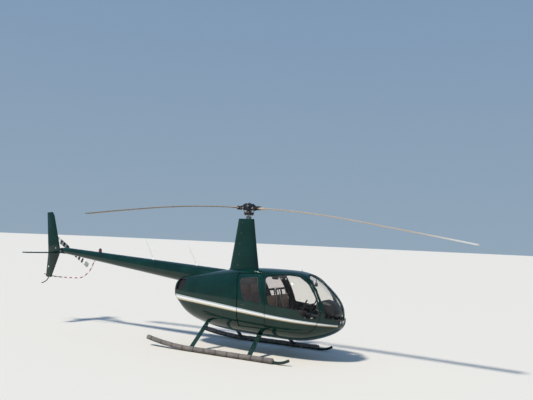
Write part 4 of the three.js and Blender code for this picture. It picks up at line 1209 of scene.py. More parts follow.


# Main rotor blades. Bonded metal blades with aluminium skins, drooping as they park.
# Both blades are alike: the fore blade's finish is painted light and sandy as sunlit, paling towards its
# tip as a painted highlight, and the aft one's is painted dark as shaded.
# distance from the mast, height, chord
FORE_BLADE = (
    (0.238, 3.142, 0.090), (0.420, 3.136, 0.150), (0.620, 3.126, 0.254), (1.120, 3.092, 0.254),
    (1.910, 3.008, 0.254), (2.630, 2.906, 0.254), (3.800, 2.720, 0.254), (5.030, 2.520, 0.254),
)
AFT_BLADE = (
    (0.238, 3.164, 0.090), (0.420, 3.170, 0.150), (0.620, 3.176, 0.254), (1.120, 3.182, 0.254),
    (1.700, 3.178, 0.254), (2.580, 3.142, 0.254), (3.800, 3.055, 0.254), (5.030, 2.950, 0.254),
)
BLADE_CHORD = 0.254
BLADE_THICKNESS = 0.031


def blade_finish_with_painted_light(name, top, bottom, tip):
    made = Finish(name)
    x, y, z = made.place()
    reach = abs(x)
    facing = made.node("ShaderNodeNewGeometry", {}, {}, "Normal")
    upward = made.node("ShaderNodeSeparateXYZ", {}, {0: facing}, "Z")
    streaks = made.noise(6.0, 4.0, 0.6, (0.2, 6.0, 1.0))
    # The underside is painted darker than the top: painted shade.
    painted_lit_top_shaded_underside = made.blend(made.between(upward, -0.3, 0.3), bottom, top)
    scuffed = made.blend(made.between(streaks, 0.35, 0.75) * 0.3, painted_lit_top_shaded_underside, (0.20, 0.18, 0.16))
    # Outboard the colour goes to the tip colour: a painted highlight on the fore blade, painted shade on the
    # aft one.
    outer = made.between(reach, 3.6, 5.0)
    painted_tip_light_and_shade = made.blend(outer, scuffed, tip)
    seams = made.between(abs(reach - 0.95), 0.0015, 0.003, 0.6, 1.0)
    made.set({"Base Color": made.blend(seams, (0.03, 0.03, 0.03), painted_tip_light_and_shade)})
    made.set({"Roughness": made.between(streaks, 0.3, 0.7, 0.35, 0.55), "Metallic": 0.1})
    made.bump(made.noise(90.0, 3.0), 0.0002)
    return made


# The two blades' colours are lit and shaded copies of one finish: painted light and painted shade.
FORE_BLADE_PAINTED_SUNLIT = blade_finish_with_painted_light("blade_painted_sunlit_sand", (0.55, 0.45, 0.32), (0.50, 0.37, 0.24), (0.78, 0.74, 0.66))
AFT_BLADE_PAINTED_SHADED = blade_finish_with_painted_light("blade_painted_shaded_grey_brown", (0.30, 0.26, 0.22), (0.13, 0.105, 0.09), (0.16, 0.13, 0.115))


def airfoil(back):
    """Half the thickness of a symmetrical section at a share of the chord behind its nose."""
    return 5 * (0.2969 * math.sqrt(back) - 0.126 * back - 0.3516 * back ** 2 + 0.2843 * back ** 3
                - 0.1036 * back ** 4)


for name, node, table, end, look, slot_name in (
    ("fore_blade", "blade_fore", FORE_BLADE, 1, FORE_BLADE_PAINTED_SUNLIT, "blade_sand"),
    ("aft_blade", "blade_aft", AFT_BLADE, -1, AFT_BLADE_PAINTED_SHADED, "blade_grey"),
):
    heights = smooth_route([(reach, 0, z) for reach, z, _ in table], 4)
    chords = smooth_route([(reach, 0, chord) for reach, _, chord in table], 4)
    chords = [min(max(point.z, 0.090), BLADE_CHORD) for point in chords]
    rings = [(point.x, point.z, chord) for point, chord in zip(heights, chords)]
    tip_x, tip_z, _ = rings[-1]
    rings += [(tip_x + 0.0005, tip_z, 0.246)]

    def blade_corner(ring, angle):
        reach, z, chord = ring
        back = (1 - math.cos(angle)) / 2
        root = (BLADE_CHORD - chord) / (BLADE_CHORD - 0.090)
        up = math.sin(angle)
        oval = up * 0.5 * (0.030 + 0.036 * root)
        wing = math.copysign(airfoil(back), up) * BLADE_THICKNESS if abs(up) > 1e-9 else 0
        share = min(max(root, 0.0), 1.0)
        chordwise = chord * 0.5 * math.cos(angle) - 0.25 * chord * (1 - share)
        return Vector((end * reach, end * chordwise, z + wing * (1 - share) + oval * share))

    blade = Piece(name)
    blade.add(loft(rings, 40, blade_corner), look)
    for reach in (0.268, 0.300, 0.345):
        ring = min(rings, key=lambda row: abs(row[0] - reach))
        for lean in (-0.40, 0.40):
            seat = blade_corner((reach, *ring[1:]), math.pi / 2 + lean)
            bolt = (seat - Vector((0, 0, 0.006)), seat + Vector((0, 0, 0.005)))
            blade.add(rod(*bolt, 0.0075, sides=6, bevel=0.001), STEEL)
    blade.done("main_rotor", [node], slot_name)


# Tail boom. A tapered tube of rolled and riveted aluminium bays, painted, with the lap of each bay showing
# as a thin line; the cowl closes round its front end.
BOOM = {"front": -0.620, "end": -5.750, "wall": 0.003}
BAY_LAPS = (-1.72, -2.42, -3.12, -3.84, -4.55, -5.20)


def boom_radius(x):
    return 0.203 + 0.0323 * (x + 1.960)


def boom_axis(x):
    return 1.610 - 0.0857 * (x + 1.960)


def boom_corner(ring, angle):
    x, out = ring
    radius = boom_radius(x) + out
    return Vector((x, radius * math.cos(angle), boom_axis(x) + radius * math.sin(angle)))


# The rounded front end inside the cowl: distance ahead of the tube's front, distance inside its radius
BOOM_NOSE = (
    (0.235, -0.252), (0.234, -0.235), (0.225, -0.160), (0.200, -0.098), (0.165, -0.056),
    (0.125, -0.028), (0.080, -0.010), (0.040, -0.002),
)
rings = [(BOOM["front"] + ahead, inwards) for ahead, inwards in BOOM_NOSE]
for lap in BAY_LAPS:
    rings += [(lap + 0.030, 0.0), (lap + 0.0005, 0.0), (lap - 0.0005, -0.0012), (lap - 0.030, -0.0006)]
rings += [(BOOM["end"] + 0.02, 0.0), (BOOM["end"], 0.0), (BOOM["end"], -BOOM["wall"])]
boom = Piece("tail_boom_skin")
boom.add(loft(rings, 72, boom_corner), PAINT)
for lap in BAY_LAPS:
    for i in range(40):
        angle = math.tau * i / 40
        centre = boom_corner((lap + 0.012, 0.0), angle)
        outward = (centre - Vector((centre.x, 0, boom_axis(centre.x)))).normalized()
        boom.add(rod(centre - outward * 0.001, centre + outward * 0.0012, 0.0035, 0.0018, 6), PAINT)
boom.done("airframe", ["tail_boom"], "body_paint")


# Aerials and beacon. Two white whip aerials lean back from moulded feet on the boom, and behind them stands
# an anti-collision beacon, a dark red glass dome on a black foot.
AERIAL_WHITE = worn("aerial_white", (0.74, 0.74, 0.71), 0.35, 0.0, 120.0, 0.06, 0.0002)
AERIALS = (
    # name, node, foot, tip
    ("front_whip_aerial", "aerial_front", (-1.370, 0, 1.770), (-1.650, 0, 2.230)),
    ("rear_whip_aerial", "aerial_rear", (-2.690, 0, 1.830), (-2.980, 0, 2.350)),
)
for name, node, foot, tip in AERIALS:
    aerial = Piece(name)
    foot, tip = Vector(foot), Vector(tip)
    base_z = boom_axis(foot.x) + boom_radius(foot.x)
    rings = [
        (0.046, 0.019, -0.012), (0.046, 0.019, 0.004), (0.036, 0.014, 0.016), (0.020, 0.010, 0.034),
        (0.010, 0.006, 0.05),
    ]

    def aerial_corner(ring, angle):
        long, wide, rise = ring
        lean = -0.5 * max(rise, 0.0)
        return Vector((foot.x + lean + long * math.cos(angle), wide * math.sin(angle), base_z + rise))

    aerial.add(loft(rings, 28, aerial_corner), AERIAL_WHITE)
    start = Vector((foot.x, 0, base_z))
    route = [start + (tip - start) * i / 6 for i in range(7)]
    sizes = [0.0125 - 0.007 * i / 6 for i in range(7)]
    aerial.add(pipe(route, sizes, 14, 0.0095), AERIAL_WHITE)
    aerial.done("airframe", [node], "aerial_white")
RED_GLASS = worn("red_lens", (0.10, 0.008, 0.010), 0.12, 0.0, 40.0, 0.3, 0.0003, 1.0)
BEACON_X = -4.470
beacon_z = boom_axis(BEACON_X) + boom_radius(BEACON_X)
dome = [
    (0.039, 0.006), (0.041, 0.012), (0.040, 0.050), (0.036, 0.074), (0.027, 0.090), (0.014, 0.098),
    (0.001, 0.100),
]


def dome_corner(ring, angle):
    radius, rise = ring
    radius *= 1 + 0.025 * math.cos(12 * angle) * (1 if rise < 0.08 else 0)
    return Vector((BEACON_X + radius * math.cos(angle), radius * math.sin(angle), beacon_z + rise))


beacon = Piece("beacon_lamp")
beacon.add(loft(dome, 48, dome_corner), RED_GLASS)
foot = ((BEACON_X, 0, beacon_z - 0.02), (BEACON_X, 0, beacon_z + 0.008))
beacon.add(rod(*foot, 0.042, sides=36, bevel=0.002), SEAL)
beacon.done("airframe", ["beacon"], "beacon_red")


# Tail gearbox. A dark cast case bolted to the boom's end ring, ribbed, with an oil window, a filler cap and
# the output housing that carries the tail rotor out to the left.
GEARBOX_Z = boom_axis(BOOM["end"]) - 0.012
ROTOR_PLACE = Vector((-5.870, 0.350, 1.910))
gearbox = Piece("tail_gearbox_case")
case = [
    (-5.7505, 0.080), (-5.764, 0.080), (-5.766, 0.062), (-5.800, 0.058), (-5.812, 0.075),
    (-5.900, 0.075), (-5.918, 0.066), (-5.924, 0.050),
]
gearbox.add(turned(case, (0, 0, GEARBOX_Z), 36), HUB_GREY)
gearbox.add(block((-5.922, -5.862), (-0.014, 0.038), (1.862, 1.983), 0.006), HUB_GREY)
output = [
    (0.03, 0.047), (0.10, 0.044), (0.105, 0.040), (0.20, 0.036), (0.205, 0.040), (0.235, 0.040),
    (0.260, 0.031),
]
gearbox.add(turned(output, (ROTOR_PLACE.x, 0, ROTOR_PLACE.z), 32, across=True), HUB_GREY)
for i in range(10):
    angle = math.tau * (i + 0.5) / 10
    spot = Vector((-5.764, 0.070 * math.cos(angle), GEARBOX_Z + 0.070 * math.sin(angle)))
    gearbox.add(rod(spot, spot + Vector((-0.008, 0, 0)), 0.0055, sides=6, bevel=0.0008), STEEL)
gearbox.add(rod((-5.84, -0.060, 1.915), (-5.84, -0.082, 1.915), 0.015, sides=24, bevel=0.002), CHROME)
gearbox.add(rod((-5.84, 0.0, 1.96), (-5.84, 0.0, 2.005), 0.013, sides=6, bevel=0.001), STEEL)
gearbox.done("airframe", ["tail_gearbox"], "dark_metal")


# Fin, stabilizer and tail skid. The upright fins and the stabilizer are painted metal with a rounded
# section and riveted edges; a white lamp stands on the lower fin, and a sprung steel skid under it guards
# the tail.
FIN_OUTLINE = (
    (-5.925, 1.850, 0.01), (-5.925, 1.960, 0.03), (-6.000, 2.200, 0.10), (-6.225, 2.880, 0.06),
    (-6.300, 2.968, 0.03), (-6.488, 2.952, 0.01), (-6.352, 1.870, 0.01), (-6.382, 1.205, 0.02),
    (-6.350, 1.188, 0.02), (-6.195, 1.190, 0.02),
)
FIN_Y = (-0.045, -0.015)
STABILIZER = (
    (-6.030, -0.046, 0.001), (-6.310, -0.046, 0.001), (-6.300, -0.900, 0.03), (-6.260, -0.985, 0.03),
    (-6.120, -0.985, 0.05), (-6.085, -0.940, 0.05),
)
STABILIZER_Z = (1.846, 1.872)


def rivet_row(piece, start, end, outward, pitch=0.045, radius=0.0032):
    """A row of rivet heads standing a little out of a skin."""
    start, end, outward = Vector(start), Vector(end), Vector(outward)
    count = max(int((end - start).length / pitch), 1)
    for i in range(count + 1):
        spot = start + (end - start) * i / count
        piece.add(rod(spot - outward * 0.001, spot + outward * 0.001, radius, radius * 0.5, 6), PAINT)


LAMP_GLASS = worn("lamp_glass", (0.75, 0.72, 0.70), 0.12, 0.0, 60.0, 0.06, 0.0002, 1.0)
fin = Piece("fin_skin")
fin.add(shape(rounded(FIN_OUTLINE), FIN_Y, 0.010), PAINT)
for side_y, out in ((FIN_Y[0], (0, -1, 0)), (FIN_Y[1], (0, 1, 0))):
    rivet_row(fin, (-6.045, side_y, 2.25), (-6.225, side_y, 2.80), out)
    rivet_row(fin, (-6.270, side_y, 2.86), (-6.440, side_y, 2.85), out)
    rivet_row(fin, (-6.235, side_y, 1.25), (-6.060, side_y, 1.75), out)
    rivet_row(fin, (-5.960, side_y, 1.93), (-6.330, side_y, 1.93), out)
lamp = Vector((-6.285, FIN_Y[0], 1.475))
fin.add(rod(lamp, lamp + Vector((0, -0.012, 0)), 0.030, 0.026, 24, 0.004), SEAL)
glass_ends = (lamp + Vector((0, -0.010, 0)), lamp + Vector((0, -0.026, 0)))
fin.add(rod(*glass_ends, 0.024, 0.014, 24, 0.005), LAMP_GLASS)
cap = Vector((-6.065, FIN_Y[0], 1.985))
fin.add(rod(cap, cap + Vector((0, -0.006, 0)), 0.014, sides=20, bevel=0.002), AERIAL_WHITE)
fin.done("airframe", ["fin"], "body_paint")
stabilizer = Piece("stabilizer_skin")
plan = shape(rounded(STABILIZER), (0.0, STABILIZER_Z[1] - STABILIZER_Z[0]), 0.009)
for vertex in plan.verts:
    x, y, z = vertex.co
    vertex.co = (x, z, STABILIZER_Z[1] - y)
bmesh.ops.recalc_face_normals(plan, faces=plan.faces)
stabilizer.add(plan, PAINT)
rivet_row(stabilizer, (-6.075, -0.10, STABILIZER_Z[1]), (-6.125, -0.92, STABILIZER_Z[1]), (0, 0, 1))
rivet_row(stabilizer, (-6.285, -0.10, STABILIZER_Z[1]), (-6.275, -0.92, STABILIZER_Z[1]), (0, 0, 1))
stabilizer.done("airframe", ["stabilizer"], "body_paint")
tail_skid = Piece("tail_skid_spring")
spring = ((-6.290, -0.030, 1.181), (-6.340, -0.030, 1.070), (-6.540, -0.030, 1.012))
route = bow([Vector(spring[0])], *spring, 14)
tail_skid.add(pipe(route, 0.0125, 16), HUB_GREY)
tail_skid.done("airframe", ["tail_skid"], "dark_metal")


# Tail rotor guard. A bent tube banded red and white runs from the boom down past the tail rotor to the
# lower fin, where a bracket holds it.
GUARD_ROUTE = (
    (-4.680, 0.062, 1.742), (-4.780, 0.095, 1.640), (-4.900, 0.118, 1.462), (-5.180, 0.120, 1.250),
    (-5.620, 0.120, 1.208), (-6.240, 0.120, 1.206), (-6.728, 0.120, 1.262),
)
GUARD_BANDS = 23
BAND_WHITE = (0.80, 0.77, 0.74)
BAND_RED = (0.30, 0.05, 0.045)

GUARD_LOOK = Finish("guard_bands")
x, y, z = GUARD_LOOK.place()
route = smooth_route(GUARD_ROUTE, 8)
reach = [0.0]
for before, after in zip(route, route[1:]):
    reach.append(reach[-1] + (after - before).length)
span_x = route[0].x - route[-1].x
run = [((point.x - route[-1].x) / span_x, 1 - way / reach[-1]) for point, way in zip(route, reach)][::-4]
run[-1] = (1.0, 0.0)
share = (x - route[-1].x) / span_x
band_place = GUARD_LOOK.node("ShaderNodeFloatCurve", {"curve": run}, {"Value": share})
wave = (band_place * math.pi * GUARD_BANDS).math("SINE")
chips = GUARD_LOOK.noise(60.0, 4.0, 0.7)
white_share = GUARD_LOOK.between(wave, -0.03, 0.03)
banded = GUARD_LOOK.blend(white_share, BAND_RED, BAND_WHITE)
chipped = GUARD_LOOK.between(chips, 0.66, 0.7)
GUARD_LOOK.set({"Base Color": GUARD_LOOK.blend(chipped, banded, (0.12, 0.11, 0.10))})
GUARD_LOOK.set({"Roughness": GUARD_LOOK.between(chips, 0.3, 0.7, 0.3, 0.5)})
GUARD_LOOK.bump(chips, 0.0002)
guard = Piece("tail_rotor_guard")
guard.add(pipe(route, 0.0135, 16), GUARD_LOOK)
guard.add(block((-6.300, -6.262), (FIN_Y[1] + 0.0006, 0.118), (1.200, 1.216), 0.002), HUB_GREY)
guard.add(rod((-4.690, 0.050, 1.742), (-4.674, 0.080, 1.742), 0.024, sides=20, bevel=0.002), HUB_GREY)
guard.done("airframe", ["tail_guard"], "guard_bands")


# Tail rotor. Two bonded metal blades on a dark hub with its pitch links; each blade is white with two black
# bands near its tip.
TAIL_ROTOR_TURN = math.radians(29)
BAND_EDGES = ((0.515, 0.450), (0.386, 0.314))

TAIL_LOOK = Finish("tail_blade_bands")
x, y, z = TAIL_LOOK.place()
across_x, across_z = x - ROTOR_PLACE.x, z - ROTOR_PLACE.z
reach = (across_x * across_x + across_z * across_z).math("SQRT")
dark = None
for outer, inner in BAND_EDGES:
    band = TAIL_LOOK.between(reach, inner - 0.001, inner + 0.001)
    band = band * (1 - TAIL_LOOK.between(reach, outer - 0.001, outer + 0.001))
    dark = band if dark is None else dark + band
rest = TAIL_LOOK.between(reach, 0.253, 0.257)
tip = TAIL_LOOK.between(reach, 0.598, 0.602)
grime = TAIL_LOOK.noise(14.0, 4.0, 0.6)
inner_part = TAIL_LOOK.blend(rest, (0.020, 0.022, 0.022), (0.80, 0.79, 0.76))
plain = TAIL_LOOK.blend(tip, inner_part, (0.30, 0.33, 0.29))
banded = TAIL_LOOK.blend(dark, plain, (0.012, 0.012, 0.013))
grimy = TAIL_LOOK.between(grime, 0.4, 0.8) * 0.2
TAIL_LOOK.set({"Base Color": TAIL_LOOK.blend(grimy, banded, (0.25, 0.23, 0.2))})
TAIL_LOOK.set({"Roughness": TAIL_LOOK.between(grime, 0.3, 0.7, 0.25, 0.45)})
TAIL_LOOK.bump(TAIL_LOOK.noise(90.0, 2.0), 0.0002)
tail_rotor = Piece("tail_rotor_and_hub")
parts = []
for low, high, radius, look in (
    (-0.084, 0.030, 0.017, STEEL), (-0.082, -0.060, 0.029, HUB_GREY), (-0.030, 0.026, 0.029, HUB_GREY),
    (0.028, 0.040, 0.020, STEEL),
):
    parts.append((rod((0, low, 0), (0, high, 0), radius, sides=28, bevel=0.002), look))
parts.append((block((-0.115, 0.115), (-0.020, 0.020), (-0.026, 0.026), 0.008), HUB_GREY))
for end in (-1, 1):
    stations = [
        (0.092, 0.052, 0.022), (0.12, 0.060, 0.020), (0.19, 0.128, 0.017), (0.735, 0.128, 0.0165),
        (0.737, 0.118, 0.010),
    ]

    def tail_blade_corner(ring, angle):
        reach, chord, thickness = ring
        back = (1 - math.cos(angle)) / 2
        section = airfoil(back) if chord > 0.1 else math.sqrt(max(back * (1 - back), 0.0))
        half = math.copysign(section * thickness, math.sin(angle))
        return Vector((end * reach, half, end * chord * 0.5 * math.cos(angle)))

    parts.append((loft(stations, 32, tail_blade_corner), TAIL_LOOK))
    link = [(end * 0.080, -0.070, end * 0.030), (end * 0.105, -0.018, end * 0.045)]
    parts.append((rod(*link, 0.005, sides=12), CHROME))
    for place_x in (0.100, 0.075):
        bolt = ((end * place_x, 0.018, 0), (end * place_x, 0.026, 0))
        parts.append((rod(*bolt, 0.008, sides=6, bevel=0.001), STEEL))
turn = Matrix.Translation(ROTOR_PLACE) @ Matrix.Rotation(TAIL_ROTOR_TURN, 4, "Y")
for part, look in parts:
    bmesh.ops.transform(part, matrix=turn, verts=part.verts)
    tail_rotor.add(part, look)
tail_rotor.done("tail_rotor_body", ["tail_rotor"], "tail_blade")


# Cabin floor, seat boxes and rear wall. The floor is carpeted, the boxes under the seats are lined, with a
# carpeted panel on each box's front, and the wall behind the rear seats is quilted cloth.
FLOOR_TOP = 0.590
FLOOR_THICKNESS = 0.028
WALL = (-0.035, -0.005)
CARPET = worn("dark_carpet", (0.055, 0.048, 0.042), 0.95, 0.0, 420.0, 0.5, 0.0025)
QUILT = worn("grey_quilt", (0.16, 0.14, 0.125), 0.9, 0.0, 40.0, 0.25, 0.004)


def pod_half_width(x, z, inset):
    side = pod_side(x, z, inset)
    return -side.y if side else 0.0


def cross_plan(spans, z, inset):
    """A plan outline across the cabin at a height, as wide as the pod allows there."""
    right = [(x, -pod_half_width(x, z, inset)) for x in spans]
    return right + [(x, -y) for x, y in right[::-1]]


def level_plate(plan, z, bevel=0.0):
    """A plate with a plan outline of x and y, from one height to another."""
    mesh = shape(plan, (0.0, z[1] - z[0]), bevel)
    for vertex in mesh.verts:
        x, y, up = vertex.co
        vertex.co = (x, up, z[1] - y)
    bmesh.ops.recalc_face_normals(mesh, faces=mesh.faces)
    return mesh


floor_piece = Piece("cabin_floor_and_seat_boxes")
spans = [-0.004 + i * 0.093 for i in range(23)] + [2.054]
deck_plan = cross_plan(spans, FLOOR_TOP - FLOOR_THICKNESS, SKIN + 0.003)
floor_piece.add(level_plate(deck_plan, (FLOOR_TOP - FLOOR_THICKNESS, FLOOR_TOP)), CARPET)
SEAT_BOXES = ((0.800, 1.300), (0.020, 0.490))
SEAT_Y = (-0.500, -0.035)
for span_x in SEAT_BOXES:
    for side in (-1, 1):
        across = sorted(side * y for y in SEAT_Y)
        floor_piece.add(block(span_x, across, (FLOOR_TOP - 0.005, 0.850), 0.012), LINER)
        front = span_x[1]
        hatch = (front - 0.001, front + 0.004)
        inner = sorted((side * 0.10, side * 0.44))
        floor_piece.add(block(hatch, inner, (0.64, 0.80), 0.002), CARPET)
floor_piece.done("airframe", ["cabin_floor"], "black_trim")
wall_piece = Piece("rear_cabin_wall_panel")
wall_outline = []
for i in range(25):
    z = 0.470 + i * 0.0515
    wall_outline.append((-pod_half_width(WALL[0], min(z, 1.742), SKIN + 0.003), z))
wall_outline += [(-y, z) for y, z in wall_outline[::-1]]
wall = shape(wall_outline, (0.0, WALL[1] - WALL[0]), 0.002)
for vertex in wall.verts:
    x, y, z = vertex.co
    vertex.co = (WALL[1] - y, x, z)
bmesh.ops.recalc_face_normals(wall, faces=wall.faces)
wall_piece.add(wall, QUILT)
wall_piece.done("airframe", ["rear_cabin_wall"], "black_trim")


# Seats. Four bucket cushions and backs, foam under stitched tan leather, with dark piping round each
# cushion's top; the cushions sit on the boxes, and the backs lean against the structure behind. The leather
# is drawn tight at the seams.
LEATHER_TAN = (0.30, 0.15, 0.075)
LEATHER_WORN = (0.38, 0.21, 0.115)
LEATHER_DARK = (0.035, 0.026, 0.022)
CUSHION_SPAN = {"front": (0.800, 1.310), "rear": (0.020, 0.500)}
CUSHION_Z = (0.8505, 0.935)
BACKS = {
    "front": ((0.805, 0.938), (0.895, 0.938), (0.820, 1.262), (0.736, 1.262)),
    "rear": ((0.025, 0.938), (0.145, 0.938), (0.090, 1.440), (0.005, 1.440)),
}
VOXEL = 0.006
SEAM_REACH = 0.009
CROWN_LIMIT = 0.016

LEATHER = Finish("tan_leather")
here = LEATHER.node("ShaderNodeTexCoord", {}, {}, "Object")
pores = LEATHER.node("ShaderNodeTexVoronoi", {}, {"Vector": here, "Scale": 380.0})
creases = LEATHER.noise(16.0, 6.0, 0.65)
LEATHER.set({"Base Color": LEATHER.blend(LEATHER.between(creases, 0.3, 0.7), LEATHER_TAN, LEATHER_WORN)})
LEATHER.set({"Roughness": LEATHER.between(creases, 0.3, 0.7, 0.42, 0.62)})
LEATHER.bump(pores + creases * 3, 0.0006)
PIPING = worn("dark_piping", LEATHER_DARK, 0.6, 0.0, 200.0, 0.3, 0.0004)


def stuffed(low, high, slope, seams):
    """A foam pad in a closed cover: the cover is pinned along its seams and blown out a little between them.
    slope shifts the top of the pad along x; seams are places across it, as shares of its width."""
    mesh = block((low[0], high[0]), (low[1], high[1]), (low[2], high[2]), 0.016)
    carrier = bpy.data.meshes.new("pad")
    mesh.to_mesh(carrier)
    mesh.free()
    pad = bpy.data.objects.new("pad", carrier)
    bpy.context.scene.collection.objects.link(pad)
    remesh = pad.modifiers.new("even", "REMESH")
    remesh.mode = "VOXEL"
    remesh.voxel_size = VOXEL
    remesh.use_smooth_shade = True
    shape_now = bpy.data.meshes.new_from_object(pad.evaluated_get(bpy.context.evaluated_depsgraph_get()))
    pad.modifiers.clear()
    pad.data = shape_now
    across = high[1] - low[1]
    seam_places = [low[1] + across * share for share in seams]
    long_way = 0 if high[0] - low[0] > high[2] - low[2] else 2
    thin_way = 2 - long_way
    cross_seam = low[long_way] + (high[long_way] - low[long_way]) * 0.52
    pinned = []
    for vertex in shape_now.vertices:
        place = vertex.co
        to_seam = min(abs(place.y - seam) for seam in seam_places)
        middle = seam_places[0] < place.y < seam_places[-1]
        if middle:
            to_seam = min(to_seam, abs(place[long_way] - cross_seam))
        rim = min(min(place[way] - low[way], high[way] - place[way]) for way in (1, long_way))
        back_side = place[thin_way] < low[thin_way] + 0.35 * (high[thin_way] - low[thin_way])
        if to_seam < SEAM_REACH * 0.6 or back_side or rim < 0.004:
            pinned.append(vertex.index)
    before = [vertex.co.copy() for vertex in shape_now.vertices]
    group = pad.vertex_groups.new(name="seams")
    group.add(pinned, 1.0, "REPLACE")
    cloth = pad.modifiers.new("cover", "CLOTH")
    cloth.settings.vertex_group_mass = "seams"
    cloth.settings.use_pressure = True
    cloth.settings.uniform_pressure_force = 4.0
    cloth.settings.tension_stiffness = 12.0
    cloth.settings.compression_stiffness = 12.0
    cloth.settings.bending_stiffness = 0.6
    cloth.settings.effector_weights.gravity = 0.0
    cloth.point_cache.frame_start = 1
    cloth.point_cache.frame_end = 20
    for frame_number in range(1, 21):
        bpy.context.scene.frame_set(frame_number)
    blown = bpy.data.meshes.new_from_object(pad.evaluated_get(bpy.context.evaluated_depsgraph_get()))
    for vertex, rest_place in zip(blown.vertices, before):
        moved = vertex.co - rest_place
        if moved.length > CROWN_LIMIT:
            moved *= CROWN_LIMIT / moved.length
        vertex.co = rest_place + moved
    bpy.context.scene.frame_set(1)
    shape_now = blown
    result = bmesh.new()
    result.from_mesh(shape_now)
    for vertex in result.verts:
        place = vertex.co
        to_seam = min(abs(place.y - seam) for seam in seam_places)
        if seam_places[0] < place.y < seam_places[-1]:
            to_seam = min(to_seam, abs(place[long_way] - cross_seam))
        top_side = (place[thin_way] - low[thin_way]) / (high[thin_way] - low[thin_way])
        if top_side > 0.6:
            place[thin_way] -= 0.006 * math.exp(-(to_seam / SEAM_REACH) ** 2)
        place.x += slope * (place.z - low[2]) / (high[2] - low[2])
    bpy.data.objects.remove(pad)
    every_way = {"use_axis_x": True, "use_axis_y": True, "use_axis_z": True}
    bmesh.ops.smooth_vert(result, verts=result.verts, factor=0.5, **every_way)
    return result


pads = {}
width = (SEAT_Y[0] + 0.004, SEAT_Y[1] - 0.004)
rear_x, front_x = CUSHION_SPAN["front"]
low = Vector((rear_x + 0.003, width[0], CUSHION_Z[0] + 0.001))
high = Vector((front_x - 0.003, width[1], CUSHION_Z[1] - 0.011))
pads["cushion"] = stuffed(low, high, 0.0, (0.20, 0.80))
back = BACKS["front"]
low = Vector((back[0][0] + 0.004, width[0], back[0][1] + 0.003))
high = Vector((back[1][0] - 0.012, width[1], back[2][1] - 0.003))
pads["back"] = stuffed(low, high, back[3][0] - back[0][0] + 0.006, (0.20, 0.80))
for name, left in HANDS:
    for row, span_x in CUSHION_SPAN.items():
        cushion = Piece(f"{name}_{row}_seat_cushion", left)
        part = pads["cushion"].copy()
        squeeze = (span_x[1] - span_x[0]) / (front_x - rear_x)
        for vertex in part.verts:
            vertex.co.x = span_x[0] + (vertex.co.x - rear_x) * squeeze
        cushion.add(part, LEATHER)
        rim_x = (span_x[0] + 0.012, span_x[1] - 0.012)
        rim_y = (SEAT_Y[0] + 0.012, SEAT_Y[1] - 0.012)
        z = CUSHION_Z[1] - 0.018
        loop = [(rim_x[i], rim_y[j], z) for i, j in ((0, 0), (1, 0), (1, 1), (0, 1))]
        for start, end in zip(loop, loop[1:] + loop[:1]):
            cushion.add(rod(start, end, 0.0042, sides=8), PIPING)
        made = cushion.done("airframe", [f"{row}_cushion_{name}"], "seat_leather", math.radians(60))
        seat_back = Piece(f"{name}_{row}_seat_back", left)
        part = pads["back"].copy()
        outline = BACKS[row]
        deep = (outline[1][0] - outline[0][0]) / (back[1][0] - back[0][0])
        for vertex in part.verts:
            share = (vertex.co.z - back[0][1]) / (back[2][1] - back[0][1])
            lean = (back[3][0] - back[0][0]) * share
            from_rear = vertex.co.x - back[0][0] - lean
            new_lean = (outline[3][0] - outline[0][0]) * share
            vertex.co.x = outline[0][0] + new_lean + from_rear * deep * (0.90 if row == "rear" else 0.92)
            vertex.co.z = outline[0][1] + (outline[2][1] - outline[0][1]) * share
        seat_back.add(part, LEATHER)
        made = seat_back.done("airframe", [f"{row}_seat_back_{name}"], "seat_leather", math.radians(60))
for part in pads.values():
    part.free()
HOOP_TOP = 1.387
HOOP_ROLL = 0.0215
HOOP_LEAN = -0.2225
PAD_MIDDLE = (back[0][0] + back[1][0]) / 2


def on_back(y, z, forward=0.0):
    """A place in the middle plane of a front seat back, or so far in front of it."""
    return Vector((PAD_MIDDLE + HOOP_LEAN * (z - back[0][1]) + forward, y, z))


for name, left in HANDS:
    hoop = Piece(f"{name}_front_seat_hoop", left)
    outer, inner = SEAT_Y[0] + 0.018, SEAT_Y[1] - 0.018
    corner = 0.055
    route = [on_back(outer, 1.20), on_back(outer, HOOP_TOP - corner)]
    bow(route, route[-1], on_back(outer, HOOP_TOP), on_back(outer + corner, HOOP_TOP), 7)
    route.append(on_back(inner - corner, HOOP_TOP))
    bow(route, route[-1], on_back(inner, HOOP_TOP), on_back(inner, HOOP_TOP - corner), 7)
    route.append(on_back(inner, 1.20))
    sizes = [0.011 if point.z < HOOP_TOP - corner / 2 else HOOP_ROLL for point in route]
    sizes[0] = 0.012
    hoop.add(pipe(route, sizes, 18), PIPING)
    middle = (outer + inner) / 2
    post = [on_back(middle, z) for z in (1.22, 1.30, HOOP_TOP)]
    hoop.add(pipe(post, 0.030, 18, 0.012), PIPING)
    hoop.done("airframe")


